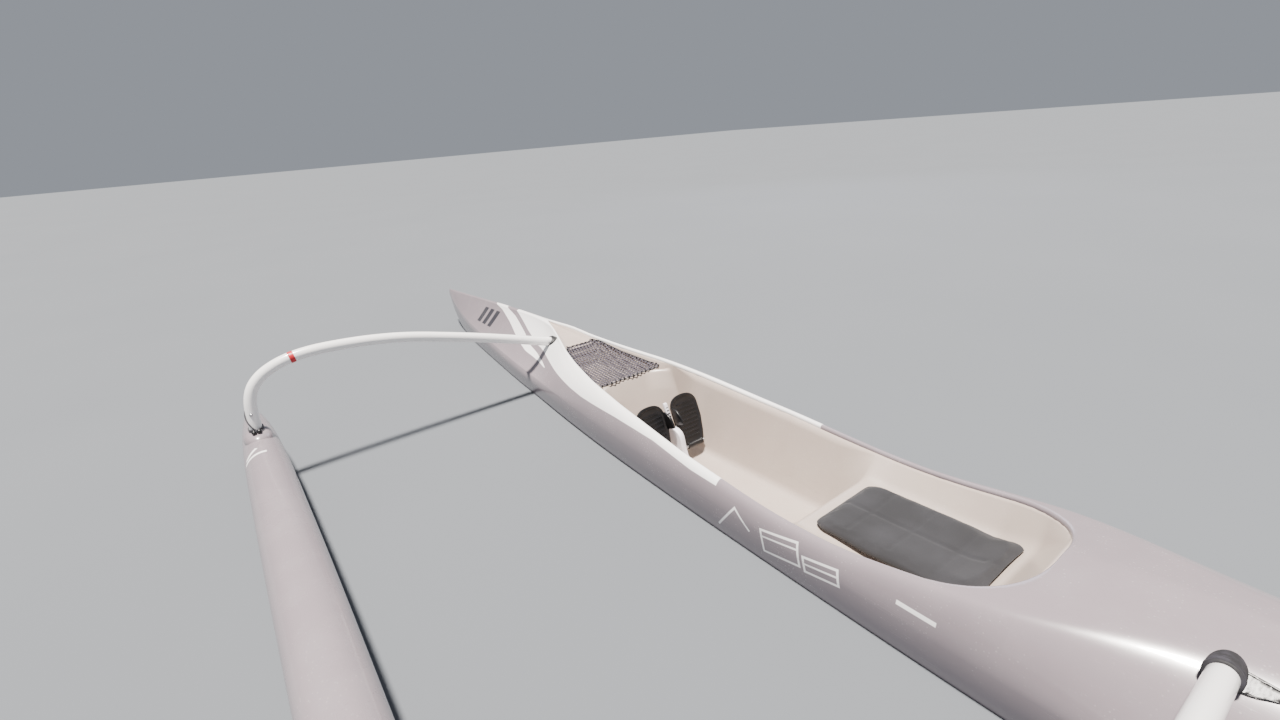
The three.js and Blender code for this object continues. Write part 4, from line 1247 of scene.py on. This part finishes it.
def leg_ring(end, z):
    """One turn of cord round a leg, slightly aslant."""
    angles = [2 * pi * i / 30 for i in range(30)]
    points = [leg_point(end, z + 1.6 * cos(angle), angle, CORD_RADIUS - CORD_PRESS) for angle in angles]
    return tube(points, CORD_RADIUS * MM, 10, closed=True)


# The lashing's slanted turn: heights above the pad's foot, angles round the leg, and how far off it lies
DIAGONAL_TURN = ((72, 62, 1.7), (60, 88, 1.7), (46, 112, 1.7), (34, 138, 1.7), (24, 160, 1.9), (17, 178, 3.5))


def diagonal_cord(end, top):
    """The cord's slanted turn down the leg and its tail, which ends under the knobs."""
    points = [leg_point(end, top + rise, radians(angle), away) for rise, angle, away in DIAGONAL_TURN]
    tail = Vector((IAKO_X[end] - 23 * MM, (AMA_Y + 6) * MM, (top + 14.5) * MM))
    points += [tail, tail + Vector((-3, -14, -1)) * MM, tail + Vector((9, -25, -4)) * MM]
    return tube(even_spaced(catmull_rom(points, 10), 3 * MM), CORD_RADIUS * MM, 10)


for end in ("front", "rear"):
    crossbeam(end)
    socket_latch(end)
    ama_fitting(end)

# Net over the front stowage. s: station; z: height of its top face
NET_TABLE = ((-121, 181.8), (-134, 180.6), (-250, 157), (-380, 145.3), (-398, 144.3), (-419, 144.3))
# Its cell, its strands' thickness before they are rounded, how far its middle lies under its top face, its
# sag, the radius of the cord at its edge and how far it stays from the walls
NET_CELL = 12.0
NET_STRAND = 4.6
NET_DROP = 1.0
NET_SAG = 3.5
NET_CORD = 1.7
NET_INSET = 2.5
# The cord at the net's edge loops over hooks: the hooks' pitch, how far each loop reaches, the points of a
# loop, and how high the cord lies over the net and swings up and down
LOOP_PITCH = 17.0
LOOP_REACH = 4.0
LOOP_STEPS = 8
HEM_LIFT = 1.6
HEM_SWING = 0.9


def net_height(s):
    return straight_values(NET_TABLE, s)[1]


def wall_half(s, z):
    """Half-width between the cockpit's walls at a height."""
    row = cockpit_row(s)
    rise = (z - row["floor_z"]) / (hull_row(s)["edge_z"] - row["floor_z"])
    return row["floor"] + (row["top"] - row["floor"]) * min(1.0, max(0.0, rise))


def net_half(s):
    return wall_half(s, net_height(s) + 4) - NET_INSET


def net_place(s, y):
    """A point of the net's middle layer: it sags a little between its edges and curls up at its sides."""
    half = net_half(s)
    share = min(1.0, abs(y) / half)
    along = (s - NET_TABLE[-1][0]) / (NET_TABLE[0][0] - NET_TABLE[-1][0])
    sag = NET_SAG * (1 - share ** 2) * sin(pi * min(max(along, 0.0), 1.0)) ** 0.5
    ripple = 0.8 * sin(s * 0.11 + y * 0.05) * sin(y * 0.09) * (1 - share)
    lift = 6.0 * max(0.0, share - 0.9) / 0.1
    return at(s + 1.5 * sin(y * 0.07), y, net_height(s) - NET_DROP - sag + ripple + lift)


def stowage_net():
    front, back = NET_TABLE[0][0], NET_TABLE[-1][0]
    rows = round((front - back) / NET_CELL)
    columns = round(2 * net_half(back) / NET_CELL) + 2
    bm = bmesh.new()
    bmesh.ops.create_grid(bm, x_segments=rows, y_segments=columns, size=0.5)
    gone = []
    for vert in bm.verts:
        s = back + 3 + (front - back - 6) * (vert.co.x + 0.5)
        y = vert.co.y * columns * NET_CELL
        half = net_half(s)
        if abs(y) > half + NET_CELL * 0.98:
            gone.append(vert)
        vert.co = net_place(s, max(-half, min(half, y)))
    bmesh.ops.delete(bm, geom=gone, context="VERTS")
    flat_area = sum(face.calc_area() for face in bm.faces)
    bmesh.ops.recalc_face_normals(bm, faces=bm.faces)
    piece = new_piece("stowage_netting", bm, "net", stands_for=("stowage_net",))
    modifier(piece, "WIREFRAME", thickness=NET_STRAND * MM, use_even_offset=False, use_boundary=True,
             use_replace=True)
    modifier(piece, "SUBSURF", levels=1, render_levels=1)
    hem = net_hem()
    width, length = 2 * net_half(back) * MM, (front - back) * MM


def net_edge():
    """The net's outline as (s, y): down its port side, across the crest, up its starboard side, across."""
    front, back = NET_TABLE[0][0], NET_TABLE[-1][0]
    side = [front + (back - front) * i / 40 for i in range(41)]
    corners = [(s, net_half(s)) for s in side]
    return corners + [(s, -y) for s, y in reversed(corners)]


def net_hem():
    """A thin cord looped along the net's edge over small hooks under the cockpit's lip and crest."""
    outline = [Vector((s, y, 0)) for s, y in net_edge()]
    path = even_spaced(outline + [outline[0]], LOOP_PITCH / LOOP_STEPS)
    points = []
    for i in range(1, len(path) - 1):
        out = (path[i + 1] - path[i - 1]).normalized().cross(UP)
        turn = 2 * pi * (i - 1) / LOOP_STEPS
        spot = path[i] + out * (LOOP_REACH * 0.5 * (1 - sin(turn)))
        points.append(net_place(spot.x, spot.y) + (HEM_LIFT + HEM_SWING * cos(turn)) * MM * UP)
    cords = tube(points, NET_CORD * MM, 8, closed=True)
    piece = new_piece("stowage_net_hem", cords, "cord")
    profile = [(0, -3.0), (2.6, -3.0), (2.4, 0.6), (3.4, 1.6), (3.0, 2.8), (0, 3.2)]
    hooks = [turned(profile, spot, steps=12) for spot in points[2::LOOP_STEPS]]
    clips = new_piece("stowage_net_hooks", merged(*hooks), "black_plastic")
    crease_by_angle(clips, 50)
    return piece


stowage_net()

# Seat pad. s: station; half: half-width; thick: thickness
SEAT_PAD_TABLE = ((-1204, 96, 10), (-1235, 108, 20), (-1335, 111, 24), (-1485, 106, 24), (-1535, 96, 17),
                  (-1548, 88, 8))
# The mesh's cells, how far the stuffing may move a point, its pressure and the frames that it takes, and the
# depth of the hollow for the thighs
PAD_VOXEL = 5.0
PAD_CAP = 5.0
PAD_PRESSURE = 4.0
PAD_FRAMES = 20
PAD_SCOOP = 5.0
# Its grooves: the stations of those across, how far they reach, the stations that the long one runs between,
# and the height over the seat's floor above which they are pressed
CHANNELS_ACROSS = (-1285, -1375, -1465)
CHANNEL_HALF = 88
CHANNEL_SPAN = (-1225, -1515)
CHANNEL_FROM_Z = 14


def pad_form():
    """The pad before it is stuffed: it follows the seat's floor and is hollowed for the thighs."""
    front, back = SEAT_PAD_TABLE[0][0], SEAT_PAD_TABLE[-1][0]
    stations = spread(front, back, 12)
    across = 20

    def place(row, column):
        s = stations[row]
        _, half, thick = straight_values(SEAT_PAD_TABLE, s)
        floor_z = cockpit_row(s)["floor_z"] + 3
        angle = 2 * pi * column / (2 * across)
        x, up = cos(angle), sin(angle)
        y = half * (1 if x > 0 else -1) * min(1.0, abs(x) ** 0.35)
        z = thick * 0.5 * (1 if up > 0 else -1) * min(1.0, abs(up) ** 0.5) + thick * 0.5
        scoop = PAD_SCOOP * max(0.0, 1 - abs(y) / (half * 0.85)) ** 0.7 if up > 0 else 0.0
        end = min(1.0, min(row, len(stations) - 1 - row) / 1.5)
        return at(s, y, floor_z + thick * 0.5 + (z - thick * 0.5 - scoop * end) * max(end, 0.02))

    return skin(len(stations), 2 * across + 1, place)


def seat_pad():
    piece = new_piece("seat_cushion", pad_form(), "foam", stands_for=("seat_pad",))
    modifier(piece, "REMESH", mode="VOXEL", voxel_size=PAD_VOXEL * MM)
    apply_modifiers(piece)
    stuff(piece, PAD_PRESSURE, PAD_CAP * MM)
    press_channels(piece)
    modifier(piece, "SUBSURF", levels=1, render_levels=1)
    for polygon in piece.data.polygons:
        polygon.use_smooth = True


def apply_modifiers(piece):
    """Bakes a piece's modifiers into its mesh."""
    bpy.context.view_layer.update()
    depsgraph = bpy.context.evaluated_depsgraph_get()
    done = bpy.data.meshes.new_from_object(piece.evaluated_get(depsgraph))
    piece.modifiers.clear()
    old = piece.data
    piece.data = done
    bpy.data.meshes.remove(old)
    if not done.materials:
        done.materials.append(FINISHES["foam"])


def stuff(piece, pressure, cap):
    """Fills a closed form with pressure as cloth, and keeps each point within cap of where it was."""
    before = [vert.co.copy() for vert in piece.data.vertices]
    cloth = piece.modifiers.new("cloth", "CLOTH")
    settings = cloth.settings
    settings.use_pressure = True
    settings.uniform_pressure_force = pressure
    settings.effector_weights.gravity = 0
    settings.quality = 6
    scene = bpy.context.scene
    for step_frame in range(1, PAD_FRAMES + 1):
        scene.frame_set(step_frame)
    apply_modifiers(piece)
    scene.frame_set(1)
    for vert, rest in zip(piece.data.vertices, before):
        shift = vert.co - rest
        if shift.length > cap:
            vert.co = rest + shift * (cap / shift.length)


def press_channels(piece):
    """Sinks the pad's moulded grooves: one along its middle and three across."""
    for vert in piece.data.vertices:
        s = (vert.co.x - IAKO_X["front"]) / MM
        y = vert.co.y / MM
        if vert.co.z / MM < cockpit_row(s)["floor_z"] + CHANNEL_FROM_Z:
            continue
        groove = 2.6 * max(0.0, 1 - abs(y) / 7) if CHANNEL_SPAN[1] < s < CHANNEL_SPAN[0] else 0.0
        for line in CHANNELS_ACROSS if abs(y) < CHANNEL_HALF else ():
            groove = max(groove, 2.2 * max(0.0, 1 - abs(s - line) / 6))
        vert.co.z -= groove * MM


seat_pad()

# Foot pedals on their base, axle and track
PEDAL_S = -652
PEDAL_PIVOT_Z = -28
PEDAL_LEAN = radians(22)
PEDAL_WIDTH = 100
PEDAL_HEIGHT = 158
PEDAL_THICKNESS = 8
PEDAL_CENTRE_Y = 64
# Height of the pedal's rounded top, and how square its round is
PEDAL_CROWN = 44
PEDAL_SQUARE = 2.5
# Ribs across its face: how many, the height of the first and their pitch
PEDAL_RIBS = {"count": 9, "from": 26, "pitch": 13}
SLEEVE_LENGTH = 56
AXLE_RADIUS = 5
AXLE_LENGTH = 200
AXLE_TURN = Matrix.Rotation(pi / 2, 4, "X")
FLOOR_Z = -72
TRACK = {"front": -534, "length": 330, "width": 30, "height": 10}
# Heights of the track over the floor and of the carriage over the floor and track's height
TRACK_LIFT = 0.4
CARRIAGE_LIFT = 0.6
POST_TEETH = 9
TRACK_SCREWS = 7
DRAIN_S = -1040


def pedal_outline():
    """The plate's outline, width against height, from its foot round its broad rounded top."""
    half = PEDAL_WIDTH / 2
    shoulder = PEDAL_HEIGHT - PEDAL_CROWN
    corners = [(half - 20, -4), (half - 8, 30), (half, 75), (half, shoulder)]
    top = []
    for i in range(1, 20):
        across, up = cos(pi * i / 20), sin(pi * i / 20)
        bulge = 1 / (abs(across) ** PEDAL_SQUARE + up ** PEDAL_SQUARE) ** (1 / PEDAL_SQUARE)
        top.append((half * across * bulge, shoulder + PEDAL_CROWN * up * bulge))
    return corners + top + [(-y, z) for y, z in reversed(corners)]


def pedal(name, side):
    """A plate, sunk and ribbed where the foot presses, with a flange, webs and a sleeve on the axle."""
    half = PEDAL_WIDTH / 2
    foot_plate = plate([(-PEDAL_THICKNESS / 2, y, z) for y, z in pedal_outline()], (PEDAL_THICKNESS, 0, 0))
    pressed = min(foot_plate.faces, key=lambda face: face.calc_center_median().x)
    bmesh.ops.inset_region(foot_plate, faces=[pressed], thickness=7 * MM, depth=0)
    bmesh.ops.inset_region(foot_plate, faces=[pressed], thickness=1.6 * MM, depth=-2.6 * MM)
    soften(foot_plate, 1.1, 30)
    parts = [foot_plate]
    for i in range(PEDAL_RIBS["count"]):
        z = PEDAL_RIBS["from"] + i * PEDAL_RIBS["pitch"]
        width = PEDAL_WIDTH - (46 if z < 60 else 26) - (20 if z > 125 else 0)
        parts.append(block((3.4, width, 3.2), Vector((-2.4, 0, z)) * MM, 1.0))
    flange = prism([(4, 76), (4, 128), (-12, 126), (-28, 116), (-37, 98), (-40, 76), (-36, 75), (-8, 75)],
                   6, 1.2)
    parts.append(moved(flange, Vector((0, -side * (half - 3), 0)) * MM))
    bore = AXLE_RADIUS + 0.4
    sleeve = turned([(bore, 0), (9, 0), (9, SLEEVE_LENGTH), (bore, SLEEVE_LENGTH), (bore, 0)], steps=32)
    parts.append(moved(sleeve, Vector((0, SLEEVE_LENGTH / 2, 0)) * MM, AXLE_TURN))
    for y in (-20, 0, 20):
        web = prism([(4, 4), (4, 60), (7, 56), (10, 10), (9, 2)], 3, 0.5)
        parts.append(moved(web, Vector((0, y, 0)) * MM))
    place = at(PEDAL_S, side * PEDAL_CENTRE_Y, PEDAL_PIVOT_Z)
    whole = moved(merged(*parts), place, Matrix.Rotation(PEDAL_LEAN, 4, "Y"))
    piece = new_piece(f"foot_{name}", whole, "black_plastic", body=name,
                      stands_for=(name,))
    crease_by_angle(piece, 32)


def pedal_base():
    """A white moulded carriage: a long foot, a humped housing and a toothed post between the pedals."""
    bottom = FLOOR_Z + TRACK["height"] + CARRIAGE_LIFT
    side = [(-60, bottom), (60, bottom), (60, bottom + 8), (52, bottom + 26), (34, 36), (24, 43)]
    side += [(16, 44.6), (2, 43.4), (-10, 38), (-18, 28), (-23, 12), (-27, -10), (-33, -30), (-44, -46),
             (-60, bottom + 8)]
    housing = prism(side, 18, 3.6, 4)
    post = prism([(26, 30), (60, 108), (57, 112), (51, 111), (17, 34)], 12, 2.4, 3)
    whole = moved(merged(housing, post), at(PEDAL_S, 0, 0))
    piece = new_piece("pedal_carriage", whole, "white_plastic",
                      stands_for=("pedal_base",))
    crease_by_angle(piece, 40)
    teeth = []
    for i in range(POST_TEETH):
        p = i / (POST_TEETH - 1)
        place = at(PEDAL_S + 18 + 33 * p, 0, 42.5 + 64 * p)
        teeth.append(block((3.2, 8, 3.4), place, 0.8, Matrix.Rotation(radians(24), 3, "Y")))
    new_piece("pedal_post_slots", merged(*teeth), "black_plastic")


def pedal_hardware():
    """The pedals' axle, and the track under their carriage with its screws."""
    chamfer = 0.6
    end = AXLE_RADIUS - chamfer
    axle = turned([(0, 0), (end, 0), (AXLE_RADIUS, chamfer), (AXLE_RADIUS, AXLE_LENGTH - chamfer),
                   (end, AXLE_LENGTH), (0, AXLE_LENGTH)], steps=32)
    moved(axle, at(PEDAL_S, AXLE_LENGTH / 2, PEDAL_PIVOT_Z), AXLE_TURN)
    piece = new_piece("pedal_pin", axle, "aluminium", stands_for=("pedal_axle",))
    crease_by_angle(piece)
    length, half, height = TRACK["length"], TRACK["width"] / 2, TRACK["height"]
    section = ((-half, 0), (half, 0), (half - 2, 4), (half - 5, height), (9, height), (7.5, height - 4),
               (-7.5, height - 4), (-9, height), (5 - half, height), (2 - half, 4))
    rail = plate([(0, y, z) for y, z in section], (-length, 0, 0))
    moved(rail, at(TRACK["front"], 0, FLOOR_Z + TRACK_LIFT))
    new_piece("pedal_rail", rail, "aluminium", smooth=False,
              stands_for=("pedal_track",))
    head = [(0, 0), (3.6, 0), (3.2, 1.4), (1.6, 2.0), (1.4, 0.9), (0, 0.9)]
    screws = []
    for i in range(TRACK_SCREWS):
        s = TRACK["front"] - 20 - i * (length - 40) / (TRACK_SCREWS - 1)
        spot = at(s, 0, FLOOR_Z + TRACK_LIFT + height - 4)
        screws.append(turned(head, spot, steps=18))
    new_piece("pedal_rail_screws", merged(*screws), "steel")


def footwell_drain():
    spot = at(DRAIN_S, 0, FLOOR_Z + 0.3)
    ring = turned([(0, 0), (16, 0), (16, 2.2), (15, 3.6), (12.5, 4.6), (11.4, 3.8), (11, 2.4), (0, 2.4)],
                  spot)
    bars = [block((1.6, 21 - abs(i) * 3.4, 1.8), spot + Vector((i * 4.2, 0, 3.0)) * MM, 0.4)
            for i in (-2, -1, 0, 1, 2)]
    piece = new_piece("drain_grate", merged(ring, *bars), "black_plastic",
                      stands_for=("footwell_drain",))
    crease_by_angle(piece)


pedal_base()
pedal_hardware()
for name, side in (("pedal_port", 1), ("pedal_starboard", -1)):
    pedal(name, side)
footwell_drain()

# Rudder, its post and the caps on the aft deck
RUDDER_S = -4010
RUDDER_CHORD = 118
RUDDER_SPAN = 175
RUDDER_THICKNESS = 13
RUDDER_TOP_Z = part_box("rudder_blade")[1][2] / MM
# How much narrower the blade is at its foot, how late it narrows, and how far its foot lies aft
RUDDER_TAPER = 0.42
RUDDER_TAPER_CURVE = 1.6
RUDDER_RAKE = 10
STERN_VENT_S = -2250


def foil(p):
    """A blade section at a share round it, nose at 0: (ahead, aside) in millimetres."""
    share = abs(2 * p - 1)
    along = 1 - share ** 2
    thick = 5 * (0.2969 * sqrt(along) - 0.126 * along - 0.3516 * along ** 2 + 0.2843 * along ** 3
                 - 0.1036 * along ** 4)
    side = 1 if p < 0.5 else -1
    return RUDDER_CHORD * (0.3 - along), side * thick * RUDDER_THICKNESS


def rudder():
    levels, around = 26, 40

    def place(row, column):
        down = row / levels
        ahead, aside = foil((column / around + 0.5) % 1)
        taper = 1 - RUDDER_TAPER * down ** RUDDER_TAPER_CURVE
        taper *= rounded_nose((1 - down) * RUDDER_SPAN, 12)
        spot = Vector((ahead * taper - RUDDER_RAKE * down, aside * taper, -RUDDER_SPAN * down)) * MM
        return at(RUDDER_S, 0, RUDDER_TOP_Z) + spot

    bm = skin(levels + 1, around + 1, place)
    bmesh.ops.holes_fill(bm, edges=[edge for edge in bm.edges if edge.is_boundary])
    bmesh.ops.recalc_face_normals(bm, faces=bm.faces)
    piece = new_piece("rudder_foil", bm, "ama", body="rudder", stands_for=("rudder_blade",))
    crease_by_angle(piece, 50)
    for slot in bpy.data.objects["rudder_post"].material_slots:
        slot.material = FINISHES["aluminium"]


def deck_cap(name, node_name, s, radius, height, spokes):
    """A screwed cap on the aft deck with a rim and one or two bars across it to turn it by."""
    spot = at(s, 0, hull_row(s)["ridge"] - 1.5)
    profile = [(0, 0), (radius, 0), (radius, height * 0.6), (radius - 1.2, height),
               (radius - 5, height + 0.8), (radius - 6, height - 0.6), (0, height - 0.6)]
    top = spot + height * MM * UP
    bars = [block((radius * 1.1, 3, 2.4), top, 0.7, Matrix.Rotation(pi * i / spokes, 3, "Z"))
            for i in range(spokes)]
    whole = merged(turned(profile, spot, steps=48), *bars)
    piece = new_piece(name, whole, "black_plastic", stands_for=(node_name,))
    crease_by_angle(piece)


rudder()
deck_cap("rudder_hatch", "rudder_access_cap", RUDDER_S, 26, 4.5, 2)
deck_cap("stern_vent_screw", "stern_vent_plug", STERN_VENT_S, 10, 4, 1)

# Floor and lights
FLOOR_REACH = 60
# Stations between which the floor is cut away inside the hull, and the middle of the hull's wall
FLOOR_CUT = (1060, -4560)
WALL_MIDDLE = HULL_WALL / 2
SUN = {"aim": (0.06, -0.14, -0.99), "spread": radians(7), "strength": 16.0, "colour": "fff8f0"}
# Round soft panels: name, place, what they are aimed at, diameter, power and colour
PANELS = (("side_panel", (-3.5, 5.5, 3.5), (0.6, 0.3, 0), 4.5, 60, "eaf0ff"),
          ("far_panel", (5.0, -6.0, 3.4), (0.8, 0.0, 0), 3.0, 90, "dfe6ff"))
SKY = {"colour": "dde4f0", "strength": 0.42}


def waterline_half(s):
    """Half-width of the hull's outside at the water, 0 where it is clear of it."""
    row = hull_row(s)
    if row["keel"] >= 0:
        return 0.0
    down = row["beam_z"] / (row["beam_z"] - row["keel"])
    return row["beam"] * (1 - down ** BILGE_FULLNESS) ** (1 / BILGE_FULLNESS)


def make_floor():
    """A wide floor at the waterline, cut away inside the hull's skin so that the footwell is clear of it."""
    stations = [s for s in spread(*FLOOR_CUT, 40) if waterline_half(s) > 4]
    port = [at(s, waterline_half(s) - WALL_MIDDLE, 0) for s in stations]
    starboard = [Vector((p.x, -p.y, p.z)) for p in reversed(port)]
    corners = [Vector((x, y, 0)) * FLOOR_REACH for x, y in ((-1, -1), (1, -1), (1, 1), (-1, 1))]
    bm = bmesh.new()
    for loop in (port + starboard, corners):
        verts = [bm.verts.new(p) for p in loop]
        for a, b in zip(verts, verts[1:] + verts[:1]):
            bm.edges.new((a, b))
    bmesh.ops.triangle_fill(bm, edges=bm.edges[:], use_beauty=True, use_dissolve=False, normal=(0, 0, 1))
    mesh = bpy.data.meshes.new("floor")
    bm.to_mesh(mesh)
    bm.free()
    floor = bpy.data.objects.new("floor", mesh)
    bpy.context.collection.objects.link(floor)
    mesh.materials.append(FINISHES["floor"])


def add_light(data, place, towards, strength, colour):
    data.energy = strength
    data.color = srgb(colour)[:3]
    light = bpy.data.objects.new(data.name, data)
    light.location = place
    light.rotation_euler = Vector(towards).to_track_quat("-Z", "Y").to_euler()
    bpy.context.collection.objects.link(light)


def make_light():
    high = bpy.data.lights.new("key", "SUN")
    high.angle = SUN["spread"]
    add_light(high, (0, 0, 5), SUN["aim"], SUN["strength"], SUN["colour"])
    for name, place, target, size, power, colour in PANELS:
        soft = bpy.data.lights.new(name, "AREA")
        soft.shape = "DISK"
        soft.size = size
        add_light(soft, place, Vector(target) - Vector(place), power, colour)
    world = bpy.data.worlds.new("studio")
    world.use_nodes = True
    background = world.node_tree.nodes["Background"]
    background.inputs["Color"].default_value = srgb(SKY["colour"])
    background.inputs["Strength"].default_value = SKY["strength"]
    bpy.context.scene.world = world


make_floor()
make_light()
